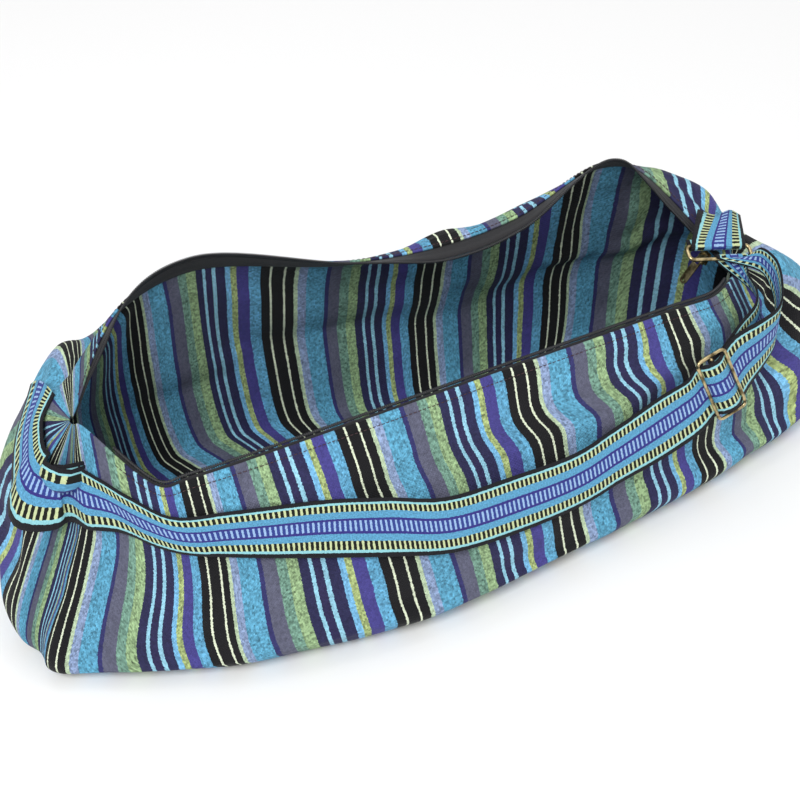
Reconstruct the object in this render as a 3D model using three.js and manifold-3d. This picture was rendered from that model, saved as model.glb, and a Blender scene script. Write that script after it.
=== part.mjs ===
import * as THREE from "three";
import Module from "manifold-3d";

// Main sizes in millimetres.
const MOUTH_SPAN = 560; // straight distance between the two ends of the mouth
const BAG_DEPTH = 250; // front to back, across the belly
const BAG_HEIGHT = 240; // table to the top of the back edge
const CLOTH_THICKNESS = 2;
const FOOT_INSET = 20; // how far the lower edge turns in under the belly
const BASE_INSET = 62; // how far in the flat base begins
const SPINE_SHARE = 0.86; // length of the middle line of the base against the mouth
const SPINE_SET_BACK = -0.06; // middle line of the base, share of the depth

const FIT_GAP = 0.4; // air between pieces that touch or are sewn

const BAND_WIDTH = 50; // shoulder strap and tab
const BAND_THICKNESS = 1.6;
const BAND_LIFT = 4; // middle of the band above the cloth it lies on
const TAB_LIFT = 0.45; // sewn end of the tab, share of that
const END_LIFT = 0.1; // sewn end of the strap

const RING_WIRE = 3.4; // wire diameter of the ring
const RING_SHORT = 17; // ring, outside, along the strap
const SLIDE_WIRE = 3.0;
const SLIDE_SHORT = 30; // slide, outside, along the strap
const WIRE_SLACK = 5; // band width to the inside of ring and slide
const WIRE_CORNER = 4; // corner radius of ring and slide on the wire's middle line

const TAPE_THICKNESS = 0.8;
const TAPE_SHOW_FRONT = 2; // tape standing out of the front edge
const TAPE_SHOW_BACK = 12; // tape standing out of the back edge
const TAPE_SHOW_END = 4; // the same at the right end, where the two edges meet
const TAPE_WIDENING = 6; // columns over which it widens from there
const RISE_LEAN = 0.08; // least lean of the standing part into the bag
const RISE_SPREAD = 3; // columns on each side that the standing part is evened over
const COIL_WIDTH = 2.6; // row of zip teeth
const COIL_GAP = 1.1; // tape edge to coil
const COIL_SIDES = 6;
const COIL_LEAD = 6; // straight run of the coils into the slider
const COIL_LEAD_STEPS = 8;
const COIL_SLACK = [-6, 0, -6]; // sag of that loose run, into the bag

const SLIDER_LENGTH = 11;
const SLIDER_WIDTH = 8.5;
const SLIDER_PLATE = 1.3;
const SLIDER_HEIGHT = 5;
const BRIDGE_HEIGHT = 3.6; // inside height of the loop that holds the pull
const BRIDGE_BAR = 1.4;
const PULL_LENGTH = 27;
const PULL_WIDTH = 8;
const PULL_THICKNESS = 1.6;
const PULL_EYE = 4.6; // opening of the pull that the bridge goes through
const PULL_HINGE_DOWN = 1.2; // hinge below the middle of the slider
const PULL_REST_ANGLE = 14; // pull away from the face of the slider

// Steps of the faceted cloth.
const LONG_STEPS = 30; // along the front and along the back
const LEFT_STEPS = 15; // round the left end
const RIGHT_STEPS = 11; // round the right end
const PROFILE_STEPS = [5, 5, 3, 1, 2]; // down one section, between its five named levels

// Each row is one section of cloth from the mouth edge down to the belly.
// x is a share of the mouth span, y of the depth and z of the height.
const FRONT_SECTIONS = [
  { edge: [-0.5, -0.032, 0.796], shoulder: [-0.52, -0.23, 0.5], belly: [-0.592, -0.368, 0.1] },
  { edge: [-0.436, -0.276, 0.703], shoulder: [-0.444, -0.392, 0.49], belly: [-0.468, -0.496, 0.115] },
  { edge: [-0.391, -0.296, 0.711], shoulder: [-0.394, -0.432, 0.49], belly: [-0.406, -0.545, 0.13] },
  { edge: [-0.17, -0.308, 0.732], shoulder: [-0.157, -0.496, 0.492], belly: [-0.145, -0.648, 0.175] },
  { edge: [0.088, -0.292, 0.732], shoulder: [0.107, -0.464, 0.492], belly: [0.125, -0.616, 0.175] },
  { edge: [0.346, -0.28, 0.732], shoulder: [0.371, -0.41, 0.492], belly: [0.396, -0.536, 0.167] },
  { edge: [0.432, -0.264, 0.72], shoulder: [0.461, -0.39, 0.483], belly: [0.489, -0.49, 0.158] },
  { edge: [0.5, -0.16, 0.692], shoulder: [0.536, -0.34, 0.467], belly: [0.575, -0.45, 0.158] },
];
const RIGHT_END_SECTIONS = [
  { edge: [0.506, -0.152, 0.692], shoulder: [0.571, -0.33, 0.508], belly: [0.636, -0.39, 0.2] },
  { edge: [0.509, -0.14, 0.692], shoulder: [0.604, -0.28, 0.575], belly: [0.686, -0.26, 0.292] },
  { edge: [0.509, -0.124, 0.692], shoulder: [0.61, -0.15, 0.66], belly: [0.704, -0.04, 0.354] },
  { edge: [0.506, -0.112, 0.696], shoulder: [0.562, 0.02, 0.74], belly: [0.646, 0.18, 0.383] },
];
const BACK_SECTIONS = [
  { edge: [0.498, -0.096, 0.708], shoulder: [0.535, 0.15, 0.82], belly: [0.589, 0.352, 0.396] },
  { edge: [0.436, 0.232, 0.897], shoulder: [0.456, 0.35, 0.85], belly: [0.468, 0.448, 0.396] },
  { edge: [0.379, 0.304, 0.938], shoulder: [0.382, 0.408, 0.775], belly: [0.393, 0.456, 0.383] },
  { edge: [0.211, 0.24, 0.862], shoulder: [0.214, 0.336, 0.84], belly: [0.221, 0.448, 0.396] },
  { edge: [0.093, 0.236, 0.838], shoulder: [0.096, 0.32, 0.845], belly: [0.1, 0.456, 0.396] },
  { edge: [-0.05, 0.292, 0.835], shoulder: [-0.046, 0.4, 0.717], belly: [-0.043, 0.472, 0.375] },
  { edge: [-0.271, 0.432, 0.897], shoulder: [-0.268, 0.496, 0.708], belly: [-0.268, 0.512, 0.383] },
  { edge: [-0.375, 0.412, 0.843], shoulder: [-0.37, 0.47, 0.75], belly: [-0.371, 0.5, 0.383] },
  { edge: [-0.425, 0.336, 0.793], shoulder: [-0.412, 0.43, 0.765], belly: [-0.411, 0.49, 0.375] },
  { edge: [-0.5, 0.032, 0.8], shoulder: [-0.452, 0.39, 0.77], belly: [-0.468, 0.48, 0.375] },
];
const LEFT_END_SECTIONS = [
  { edge: [-0.507, 0.024, 0.8], shoulder: [-0.492, 0.37, 0.8], belly: [-0.516, 0.47, 0.375] },
  { edge: [-0.511, 0.012, 0.796], shoulder: [-0.559, 0.2, 0.735], belly: [-0.608, 0.31, 0.354] },
  { edge: [-0.513, 0, 0.796], shoulder: [-0.584, 0.02, 0.645], belly: [-0.648, 0.04, 0.29] },
  { edge: [-0.511, -0.012, 0.796], shoulder: [-0.58, -0.1, 0.58], belly: [-0.66, -0.17, 0.14] },
  { edge: [-0.509, -0.018, 0.796], shoulder: [-0.543, -0.12, 0.55], belly: [-0.642, -0.23, 0.085] },
  { edge: [-0.507, -0.024, 0.796], shoulder: [-0.545, -0.17, 0.55], belly: [-0.636, -0.3, 0.07] },
];

// Vector helpers.
const sub = (a, b) => [a[0] - b[0], a[1] - b[1], a[2] - b[2]];
const add = (a, b, s = 1) => [a[0] + b[0] * s, a[1] + b[1] * s, a[2] + b[2] * s];
const cross = (a, b) => [a[1] * b[2] - a[2] * b[1], a[2] * b[0] - a[0] * b[2], a[0] * b[1] - a[1] * b[0]];
const dot = (a, b) => a[0] * b[0] + a[1] * b[1] + a[2] * b[2];
const unit = (a) => {
  const l = Math.hypot(a[0], a[1], a[2]) || 1;
  return [a[0] / l, a[1] / l, a[2] / l];
};

// Length between two points in space.
function gap(a, b) {
  return Math.hypot(a[0] - b[0], a[1] - b[1], a[2] - b[2]);
}

// Smooth curve through the points, one value per knot; knots rise and may be unevenly spaced.
function curveAt(points, knots, t) {
  let i = 0;
  while (i < knots.length - 2 && t > knots[i + 1]) i++;
  const slope = (k) => {
    const a = Math.max(k - 1, 0);
    const b = Math.min(k + 1, points.length - 1);
    return points[k].map((_, n) => {
      if (a === k || b === k) return (points[b][n] - points[a][n]) / (knots[b] - knots[a]);
      const before = (points[k][n] - points[a][n]) / (knots[k] - knots[a]);
      const after = (points[b][n] - points[k][n]) / (knots[b] - knots[k]);
      const near = (knots[b] - knots[k]) / (knots[b] - knots[a]);
      return before * near + after * (1 - near);
    });
  };
  const h = knots[i + 1] - knots[i];
  const s = (t - knots[i]) / h;
  const m0 = slope(i);
  const m1 = slope(i + 1);
  const s2 = s * s;
  const s3 = s2 * s;
  return points[i].map(
    (p, n) =>
      (2 * s3 - 3 * s2 + 1) * p +
      (s3 - 2 * s2 + s) * h * m0[n] +
      (3 * s2 - 2 * s3) * points[i + 1][n] +
      (s3 - s2) * h * m1[n],
  );
}

const scalePoint = (p) => [p[0] * MOUTH_SPAN, p[1] * BAG_DEPTH, p[2] * BAG_HEIGHT];
const SECTIONS = [...FRONT_SECTIONS, ...RIGHT_END_SECTIONS, ...BACK_SECTIONS, ...LEFT_END_SECTIONS];
const ROWS = SECTIONS.map((s) => ({
  edge: scalePoint(s.edge),
  shoulder: scalePoint(s.shoulder),
  belly: scalePoint(s.belly),
}));

// The rows make a closed loop; three extra rows at each end let the curve run on smoothly.
const WRAP = 3;
const looped = [...ROWS.slice(-WRAP), ...ROWS, ...ROWS.slice(0, WRAP)];
const rowKnots = [0];
for (let i = 1; i < looped.length; i++) {
  rowKnots.push(rowKnots[i - 1] + Math.sqrt(gap(looped[i].belly, looped[i - 1].belly)));
}

// Section of cloth at a place between rows, place 0 being the first front row.
function sectionAt(place) {
  const p = place + WRAP;
  const i = Math.min(Math.floor(p), looped.length - 2);
  const t = rowKnots[i] + (rowKnots[i + 1] - rowKnots[i]) * (p - i);
  const along = (key) => curveAt(looped.map((r) => r[key]), rowKnots, t);
  return { edge: along("edge"), shoulder: along("shoulder"), belly: along("belly") };
}

// Places of all columns of the cloth, in loop order.
function columnPlaces() {
  const f = FRONT_SECTIONS.length - 1;
  const r = RIGHT_END_SECTIONS.length + 1;
  const b = BACK_SECTIONS.length - 1;
  const l = LEFT_END_SECTIONS.length + 1;
  const list = [];
  const run = (start, span, steps) => {
    for (let k = 0; k < steps; k++) list.push(start + (span * k) / steps);
  };
  run(0, f, LONG_STEPS);
  run(f, r, RIGHT_STEPS);
  run(f + r, b, LONG_STEPS);
  run(f + r + b, l, LEFT_STEPS);
  return list;
}

// Point of the middle line of the base that a column ends on.
function spinePoint(column) {
  let share = 0;
  if (column <= LONG_STEPS) share = column / LONG_STEPS;
  else if (column < LONG_STEPS + RIGHT_STEPS) share = 1;
  else if (column <= 2 * LONG_STEPS + RIGHT_STEPS) {
    share = 1 - (column - LONG_STEPS - RIGHT_STEPS) / LONG_STEPS;
  }
  return [(share - 0.5) * MOUTH_SPAN * SPINE_SHARE, SPINE_SET_BACK * BAG_DEPTH, 0];
}

// Curve down one section: its five named levels and their knots.
function profileOf(place, column) {
  const s = sectionAt(place);
  const spine = spinePoint(column);
  const inward = [spine[0] - s.belly[0], spine[1] - s.belly[1]];
  const reach = Math.hypot(inward[0], inward[1]);
  const inset = (d) => [s.belly[0] + (inward[0] / reach) * d, s.belly[1] + (inward[1] / reach) * d, 0];
  const points = [s.edge, s.shoulder, s.belly, inset(FOOT_INSET), inset(BASE_INSET)];
  const knots = [0];
  for (let i = 1; i < points.length; i++) {
    knots.push(knots[i - 1] + Math.sqrt(gap(points[i], points[i - 1])));
  }
  return { points, knots, spine };
}

// Points down one column, from the mouth edge to the middle line of the base.
function columnPoints(place, column) {
  const { points, knots, spine } = profileOf(place, column);
  const list = [];
  for (let level = 0; level < points.length - 1; level++) {
    for (let k = 0; k < PROFILE_STEPS[level]; k++) {
      const t = knots[level] + ((knots[level + 1] - knots[level]) * k) / PROFILE_STEPS[level];
      list.push(curveAt(points, knots, t));
    }
  }
  const base = points[points.length - 1];
  const lastSteps = PROFILE_STEPS[points.length - 1];
  for (let k = 0; k <= lastSteps; k++) {
    const s2 = k / lastSteps;
    list.push([base[0] + (spine[0] - base[0]) * s2, base[1] + (spine[1] - base[1]) * s2, 0]);
  }
  return list.map((p) => [p[0], p[1], Math.max(p[2], 0)]);
}

const smooth = columnPlaces().map((place, column) => columnPoints(place, column));
const COLUMNS = smooth.length;
const LEVELS = smooth[0].length;

// Point of the outside of the cloth: place round the loop of sections, level down the section.
const FRONT_END = FRONT_SECTIONS.length - 1;
const BACK_START = FRONT_END + RIGHT_END_SECTIONS.length + 1;
const BACK_END = BACK_START + BACK_SECTIONS.length - 1;
function columnOf(place) {
  if (place <= FRONT_END) return (place / FRONT_END) * LONG_STEPS;
  if (place < BACK_START) return LONG_STEPS + 1;
  if (place > BACK_END) return 0;
  return LONG_STEPS + RIGHT_STEPS + ((place - BACK_START) / (BACK_END - BACK_START)) * LONG_STEPS;
}
function clothPoint(place, level, lift) {
  const at = (pl, lv) => {
    const wrapped = ((pl % ROWS.length) + ROWS.length) % ROWS.length;
    const curve = profileOf(wrapped, columnOf(wrapped));
    const i = Math.min(Math.floor(lv), curve.points.length - 2);
    const t = curve.knots[i] + (curve.knots[i + 1] - curve.knots[i]) * (lv - i);
    return curveAt(curve.points, curve.knots, t);
  };
  const step = 0.05;
  const here = at(place, level);
  const side = sub(at(place + step, level), at(place - step, level));
  const down = sub(at(place, level + step), at(place, Math.max(level - step, 0)));
  return add(here, unit(cross(down, side)), lift);
}

// Direction pointing into the bag at each point of a grid of columns.
function inwardGrid(grid) {
  return grid.map((column, i) =>
    column.map((p, j) => {
      if (j >= LEVELS - PROFILE_STEPS[4] - 1) return [0, 0, 1];
      const next = grid[(i + 1) % COLUMNS][j];
      const last = grid[(i + COLUMNS - 1) % COLUMNS][j];
      const below = column[Math.min(j + 1, LEVELS - 1)];
      const above = column[Math.max(j - 1, 0)];
      return unit(cross(sub(above, below), sub(next, last)));
    }),
  );
}

// Creases pressed into the cloth, each from one spot to another: place and level.
const FOLDS = [
  { from: [3.55, 0.25], to: [3.75, 1.3], width: 0.035, depth: 0.016 },
  { from: [4.05, 0.25], to: [4.2, 1.3], width: 0.035, depth: 0.02 },
  { from: [4.55, 0.3], to: [4.75, 1.1], width: 0.03, depth: 0.018 },
  { from: [4.1, 1.85], to: [5.3, 1.75], width: 0.03, depth: 0.022 },
  { from: [6.1, 1.7], to: [7.2, 1.1], width: 0.035, depth: 0.02 },
  { from: [8.2, 0.5], to: [8.6, 1.9], width: 0.04, depth: 0.02 },
  { from: [0.35, 0.9], to: [0.9, 1.7], width: 0.04, depth: 0.018 },
  { from: [1.6, 1.0], to: [1.9, 1.9], width: 0.035, depth: 0.012 },
  { from: [2.6, 1.3], to: [2.7, 2.0], width: 0.035, depth: 0.012 },
  { from: [15.5, 1.0], to: [15.9, 2.0], width: 0.05, depth: 0.02 },
  { from: [18.4, 0.9], to: [18.2, 1.9], width: 0.05, depth: 0.02 },
  { from: [22.6, 0.7], to: [22.4, 1.9], width: 0.04, depth: 0.025 },
];

// Distance from a point to the straight line between two others, both ends rounded.
function lineDistance(p, a, b) {
  const ab = sub(b, a);
  const ap = sub(p, a);
  const length2 = ab[0] ** 2 + ab[1] ** 2 + ab[2] ** 2;
  const t = Math.min(Math.max((ap[0] * ab[0] + ap[1] * ab[1] + ap[2] * ab[2]) / length2, 0), 1);
  return gap(p, add(a, ab, t));
}

const smoothInward = inwardGrid(smooth);
const foldLines = FOLDS.map((f) => ({
  a: clothPoint(...f.from, 0),
  b: clothPoint(...f.to, 0),
  width: f.width * MOUTH_SPAN,
  depth: f.depth * BAG_HEIGHT,
}));
const outer = smooth.map((column, i) =>
  column.map((p, j) => {
    if (p[2] < CLOTH_THICKNESS) return p;
    let press = 0;
    for (const f of foldLines) press += f.depth * Math.exp(-((lineDistance(p, f.a, f.b) / f.width) ** 2));
    return add(p, smoothInward[i][j], press);
  }),
);
const inwardOf = inwardGrid(outer);
const inner = outer.map((column, i) => column.map((p, j) => add(p, inwardOf[i][j], CLOTH_THICKNESS)));

// Turns all faces outward when the enclosed volume comes out negative.
function facedOut(part) {
  let volume = 0;
  for (const [a, b, c] of part.faces) {
    const normal = cross(part.points[b], part.points[c]);
    volume += part.points[a].reduce((sum, v, n) => sum + v * normal[n], 0);
  }
  return volume >= 0 ? part : { points: part.points, faces: part.faces.map(([a, b, c]) => [a, c, b]) };
}

// Closed mesh from a list of points and triangles.
function meshOf(name, points, faces, material) {
  const geometry = new THREE.BufferGeometry();
  geometry.setAttribute("position", new THREE.Float32BufferAttribute(points.flat(), 3));
  geometry.setIndex(faces.flat());
  geometry.computeVertexNormals();
  const mesh = new THREE.Mesh(geometry, material);
  mesh.name = name;
  return mesh;
}

function bagBody(material) {
  const points = [];
  const index = new Map();
  const id = (p) => {
    const key = p.map((v) => Math.round(v * 1000)).join(",");
    if (!index.has(key)) {
      index.set(key, points.length);
      points.push(p);
    }
    return index.get(key);
  };
  const faces = [];
  const tri = (a, b, c) => {
    if (a !== b && b !== c && a !== c) faces.push([a, b, c]);
  };
  const quad = (a, b, c, d) => {
    tri(a, b, c);
    tri(a, c, d);
  };
  for (let i = 0; i < COLUMNS; i++) {
    const n = (i + 1) % COLUMNS;
    for (let j = 0; j < LEVELS - 1; j++) {
      quad(id(outer[i][j]), id(outer[i][j + 1]), id(outer[n][j + 1]), id(outer[n][j]));
      quad(id(inner[i][j]), id(inner[n][j]), id(inner[n][j + 1]), id(inner[i][j + 1]));
    }
    quad(id(outer[i][0]), id(outer[n][0]), id(inner[n][0]), id(inner[i][0]));
  }
  return meshOf("bag_body", points, faces, material);
}

const wasm = await Module();
wasm.setup();

// Joins or cuts closed meshes given as { points, faces }.
function solidOf(part) {
  const made = new wasm.Mesh({
    numProp: 3,
    vertProperties: new Float32Array(part.points.flat()),
    triVerts: new Uint32Array(part.faces.flat()),
  });
  return new wasm.Manifold(made);
}

function meshFromSolid(name, solid, material) {
  const m = solid.getMesh();
  const points = [];
  for (let i = 0; i < m.numVert; i++) {
    points.push(Array.from(m.vertProperties.slice(i * m.numProp, i * m.numProp + 3)));
  }
  const faces = [];
  for (let i = 0; i < m.triVerts.length; i += 3) faces.push(Array.from(m.triVerts.slice(i, i + 3)));
  return meshOf(name, points, faces, material);
}

// Direction that no part of a closed wire runs along.
const WIRE_SIDE = unit([1, 3, 2]);

// Closed skin over a row of rings of points; an open row gets a flat cap at each end.
// In a thin strip both walls are split along the same diagonals, so they keep their distance
// where it twists.
function loft(rings, closed, thin = false) {
  const points = rings.flat();
  const faces = [];
  const n = rings[0].length;
  const last = closed ? rings.length : rings.length - 1;
  for (let i = 0; i < last; i++) {
    const a = i * n;
    const b = ((i + 1) % rings.length) * n;
    for (let k = 0; k < n; k++) {
      const m = (k + 1) % n;
      if (thin && k < n / 2) faces.push([a + k, b + k, a + m], [b + k, b + m, a + m]);
      else faces.push([a + k, b + k, b + m], [a + k, b + m, a + m]);
    }
  }
  if (!closed) {
    const end = (rings.length - 1) * n;
    for (let k = 0; k < n / 2 - 1; k++) {
      const m = n - 1 - k;
      faces.push([k, k + 1, m - 1], [k, m - 1, m]);
      faces.push([end + k, end + m - 1, end + k + 1], [end + k, end + m, end + m - 1]);
    }
  }
  return facedOut({ points, faces });
}

// Round wire along a path; the frame of each ring is carried on from the one before, so it never twists.
function wire(path, diameter, closed, sides = 8) {
  let carried = [0, 1, 0];
  const rings = path.map((p, i) => {
    const next = closed ? path[(i + 1) % path.length] : path[Math.min(i + 1, path.length - 1)];
    const last = closed ? path[(i + path.length - 1) % path.length] : path[Math.max(i - 1, 0)];
    const along = unit(sub(next, last));
    const up = closed ? cross(unit(cross(along, WIRE_SIDE)), along) : unit(cross(carried, along));
    const side = cross(along, up);
    carried = side;
    return Array.from({ length: sides }, (_, k) => {
      const a = (k * 2 * Math.PI) / sides;
      return add(add(p, side, (Math.cos(a) * diameter) / 2), up, (Math.sin(a) * diameter) / 2);
    });
  });
  return loft(rings, closed);
}

// Box in a local frame: middle, three unit directions and three full sizes.
function box(middle, axes, size) {
  const points = [];
  for (const i of [-0.5, 0.5]) {
    for (const j of [-0.5, 0.5]) {
      for (const k of [-0.5, 0.5]) {
        let p = middle;
        [i, j, k].forEach((share, n) => {
          p = add(p, axes[n], share * size[n]);
        });
        points.push(p);
      }
    }
  }
  const quads = [
    [0, 1, 3, 2],
    [4, 6, 7, 5],
    [0, 4, 5, 1],
    [2, 3, 7, 6],
    [0, 2, 6, 4],
    [1, 5, 7, 3],
  ];
  const faces = quads.flatMap((q) => [
    [q[0], q[1], q[2]],
    [q[0], q[2], q[3]],
  ]);
  return facedOut({ points, faces });
}

// Band: rows of points across its width, thickened both ways.
const ACROSS = 4;
function bandOf(rows, steps) {
  const flat = rows.map((r) => r.flat());
  const knots = [0];
  for (let i = 1; i < rows.length; i++) {
    knots.push(knots[i - 1] + Math.sqrt(gap(rows[i][ACROSS / 2], rows[i - 1][ACROSS / 2]) + 0.01));
  }
  const path = [];
  for (let i = 0; i < rows.length - 1; i++) {
    const count = steps[i] ?? 1;
    const step = (knots[i + 1] - knots[i]) / count;
    for (let k = 0; k < count; k++) path.push(curveAt(flat, knots, knots[i] + step * k));
  }
  path.push(flat[flat.length - 1]);
  const grid = path.map((v) => Array.from({ length: ACROSS + 1 }, (_, k) => v.slice(3 * k, 3 * k + 3)));
  const rings = grid.map((row, i) => {
    const next = grid[Math.min(i + 1, grid.length - 1)];
    const last = grid[Math.max(i - 1, 0)];
    const face = row.map((p, k) => {
      const along = sub(next[k], last[k]);
      const over = sub(row[Math.min(k + 1, ACROSS)], row[Math.max(k - 1, 0)]);
      return unit(cross(along, over));
    });
    const top = row.map((p, k) => add(p, face[k], -BAND_THICKNESS / 2));
    const bottom = row.map((p, k) => add(p, face[k], BAND_THICKNESS / 2));
    return [...top, ...bottom.reverse()];
  });
  return loft(rings, false, true);
}

const straightRow = (a, b) => Array.from({ length: ACROSS + 1 }, (_, k) => add(a, sub(b, a), k / ACROSS));

// Strap on the cloth: place, level and lift of its upper and of its lower edge.
const STRAP_ROWS = [
  { upper: [-5.5, 0.36, END_LIFT], lower: [-5.3, 1.06, END_LIFT] },
  { upper: [-4.6, 0.42, 1.5], lower: [-4.4, 1.18, 1.3] },
  { upper: [-3.6, 0.44, 1.5], lower: [-3.4, 1.26, 1.3] },
  { upper: [-2.6, 0.44, 1.5], lower: [-2.4, 1.13, 1.3] },
  { upper: [-1.6, 0.39, 1.5], lower: [-1.4, 1.06, 1.3] },
  { upper: [-0.7, 0.4, 1.5], lower: [-0.5, 1.0, 1.3] },
  { upper: [0.2, 0.38, 1.5], lower: [0.3, 0.86, 1] },
  { upper: [0.55, 0.36, 1], lower: [0.75, 0.86, 1] },
  { upper: [1.15, 0.38, 1], lower: [1.4, 0.92, 1] },
  { upper: [2.2, 0.5, 1], lower: [2.2, 1.06, 1] },
  { upper: [2.75, 0.68, 1], lower: [2.68, 1.25, 1] },
  { upper: [3.05, 0.85, 1], lower: [3.0, 1.4, 1] },
  { upper: [3.35, 1.06, 1], lower: [3.3, 1.55, 1] },
  { upper: [3.75, 1.13, 1], lower: [3.7, 1.63, 1] },
  { upper: [4.15, 1.17, 1], lower: [4.1, 1.65, 1] },
  { upper: [4.4, 1.1, 1], lower: [4.35, 1.6, 1] },
  { upper: [4.7, 0.97, 1], lower: [4.65, 1.54, 1] },
  { upper: [4.92, 0.88, 1], lower: [4.9, 1.45, 1] },
];
// Where the slide sits: the same three values for its upper and its lower end.
const SLIDE_ROW = { upper: [5.22, 0.76, 2.2], lower: [5.28, 1.34, 2.2] };
// Standing part of the strap between slide and ring: the upper edge as shares of span, depth and height,
// the lower edge as place, level and lift on the cloth.
const LOOP_ROWS = [
  { upper: [0.436, -0.38, 0.63], lower: [5.85, 1.22, 1.7] },
  { upper: [0.482, -0.384, 0.67], lower: [6.3, 1.1, 1.5] },
  { upper: [0.512, -0.372, 0.695], lower: [6.75, 0.98, 1.5] },
  { upper: [0.527, -0.328, 0.735], lower: [7.3, 0.76, 1.7] },
  { upper: [0.532, -0.26, 0.795], lower: [8.05, 0.44, 3.8] },
  { upper: [0.522, -0.2, 0.81], lower: [8.2, 0.16, 4.6] },
];
const RETURN_ROWS = [
  { upper: [0.494, -0.236, 0.74], lower: [6.95, 0.32, 1.6] },
  { upper: [0.494, -0.288, 0.72], lower: [6.85, 0.56, 1.1] },
  { upper: [0.482, -0.33, 0.695], lower: [6.6, 0.78, 1.2] },
  { upper: [0.45, -0.356, 0.655], lower: [5.95, 1.0, 1.3] },
];

function clothRow(row) {
  return Array.from({ length: ACROSS + 1 }, (_, k) => {
    const at = row.upper.map((v, n) => v + ((row.lower[n] - v) * k) / ACROSS);
    return clothPoint(at[0], at[1], at[2] * BAND_LIFT);
  });
}
function looseRow(row) {
  const [place, level, lift] = row.lower;
  return straightRow(scalePoint(row.upper), clothPoint(place, level, lift * BAND_LIFT));
}

// Frame of the slide: along its length, across the band, and out of the cloth.
const slideRow = clothRow(SLIDE_ROW);
const slideMiddle = slideRow[ACROSS / 2];
const slideAcross = unit(sub(slideRow[ACROSS], slideRow[0]));
const beforeSlide = clothRow(STRAP_ROWS[STRAP_ROWS.length - 1])[ACROSS / 2];
const slideOut = unit(cross(slideAcross, sub(slideMiddle, beforeSlide)));
const slideAlong = cross(slideOut, slideAcross);

// Frame of the ring.
const RING_MIDDLE = [0.474, -0.124, 0.77];
const ringMiddle = scalePoint(RING_MIDDLE);
const ringAcross = unit([1, -0.2, -0.15]);
const ringOut = unit(cross(ringAcross, [0.3, -0.9, -0.3]).map((v) => -v));
const ringAlong = cross(ringOut, ringAcross).map((v) => -v);

// Rounded rectangle of wire in a local frame.
function wireLoop(middle, across, along, short, diameter) {
  const halfLong = (BAND_WIDTH + WIRE_SLACK + diameter) / 2;
  const halfShort = (short - diameter) / 2;
  const path = [];
  const corners = [
    [1, 1],
    [-1, 1],
    [-1, -1],
    [1, -1],
  ];
  corners.forEach(([sx, sy], n) => {
    for (let k = 0; k <= 3; k++) {
      const a = ((n + k / 3) * Math.PI) / 2;
      const x = sx * (halfLong - WIRE_CORNER) + Math.cos(a) * WIRE_CORNER;
      const y = sy * (halfShort - WIRE_CORNER) + Math.sin(a) * WIRE_CORNER;
      path.push(add(add(middle, across, x), along, y));
    }
  });
  return wire(path, diameter, true);
}

// Row of the band at a point of a local frame: along and out, straight across.
function frameRow(middle, across, along, out, t, n, from = -0.5, to = 0.5) {
  const p = add(add(middle, along, t), out, n);
  return straightRow(add(p, across, BAND_WIDTH * from), add(p, across, BAND_WIDTH * to));
}

// The band dips under the end wires of the slide and climbs over its middle bar.
const PASS_GAP = 1.2; // air between the band and the end wires above it
const RISE_ALONG = 0.45; // where the band is on its way up, share of the half length of the slide
const RISE_UP = 0.78; // and how far up, share of its height over the bar
const TAIL_REACH = 0.9; // end of the turned-under tail, share of the half length of the slide
const wrapRadius = (diameter) => diameter / 2 + FIT_GAP + BAND_THICKNESS / 2;
const slidePlane = SLIDE_WIRE / 2 + BAND_THICKNESS / 2 + PASS_GAP;
const overBar = slidePlane + wrapRadius(SLIDE_WIRE) + BAND_THICKNESS + FIT_GAP;
const slideHalf = (SLIDE_SHORT - SLIDE_WIRE) / 2;
const atSlide = (t, n) => frameRow(slideMiddle, slideAcross, slideAlong, slideOut, t, n);
const slideRows = [
  atSlide(-slideHalf, 0),
  atSlide(-slideHalf * RISE_ALONG, overBar * RISE_UP),
  atSlide(0, overBar),
  atSlide(slideHalf * RISE_ALONG, overBar * RISE_UP),
  atSlide(slideHalf, 0),
];

// The band goes round the front bar of the ring, gathered towards its right corner.
const RING_GATHER = -0.1;
const ringHalf = (RING_SHORT - RING_WIRE) / 2;
const ringWrap = wrapRadius(RING_WIRE);
const atRing = (t, n, from, to) => frameRow(ringMiddle, ringAcross, ringAlong, ringOut, t, n, from, to);
const RING_LEAVE_STEPS = 3; // steps of the band where it leaves the ring
const RING_TURN = [60, 105, 150, 195, 240, 285]; // degrees round the front bar
const ringRows = RING_TURN.map((deg) => {
  const a = (deg * Math.PI) / 180;
  return atRing(ringHalf + Math.cos(a) * ringWrap, Math.sin(a) * ringWrap, RING_GATHER, 0.5).reverse();
});

// The sewn end of the return ply is turned round the middle bar of the slide.
const TAIL_TURN = [300, 255, 210, 165, 120, 75]; // degrees round the middle bar
const barWrap = wrapRadius(SLIDE_WIRE);
const tailRows = [
  atSlide(slideHalf * TAIL_REACH, -BAND_THICKNESS - PASS_GAP),
  ...TAIL_TURN.map((deg) => {
    const a = (deg * Math.PI) / 180;
    return atSlide(Math.cos(a) * barWrap, slidePlane + Math.sin(a) * barWrap);
  }),
];

const strapRows = [
  ...STRAP_ROWS.map(clothRow),
  ...slideRows,
  ...LOOP_ROWS.map(looseRow),
  ...ringRows,
  ...RETURN_ROWS.map(looseRow),
  ...tailRows,
];
const strapSteps = [
  ...STRAP_ROWS.map(() => 2),
  ...slideRows.map(() => 1),
  ...LOOP_ROWS.map(() => 2),
  ...ringRows.map((_, i) => (i < ringRows.length - 1 ? 1 : RING_LEAVE_STEPS)),
  ...RETURN_ROWS.map(() => 1),
  ...tailRows.map(() => 1),
];

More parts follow.
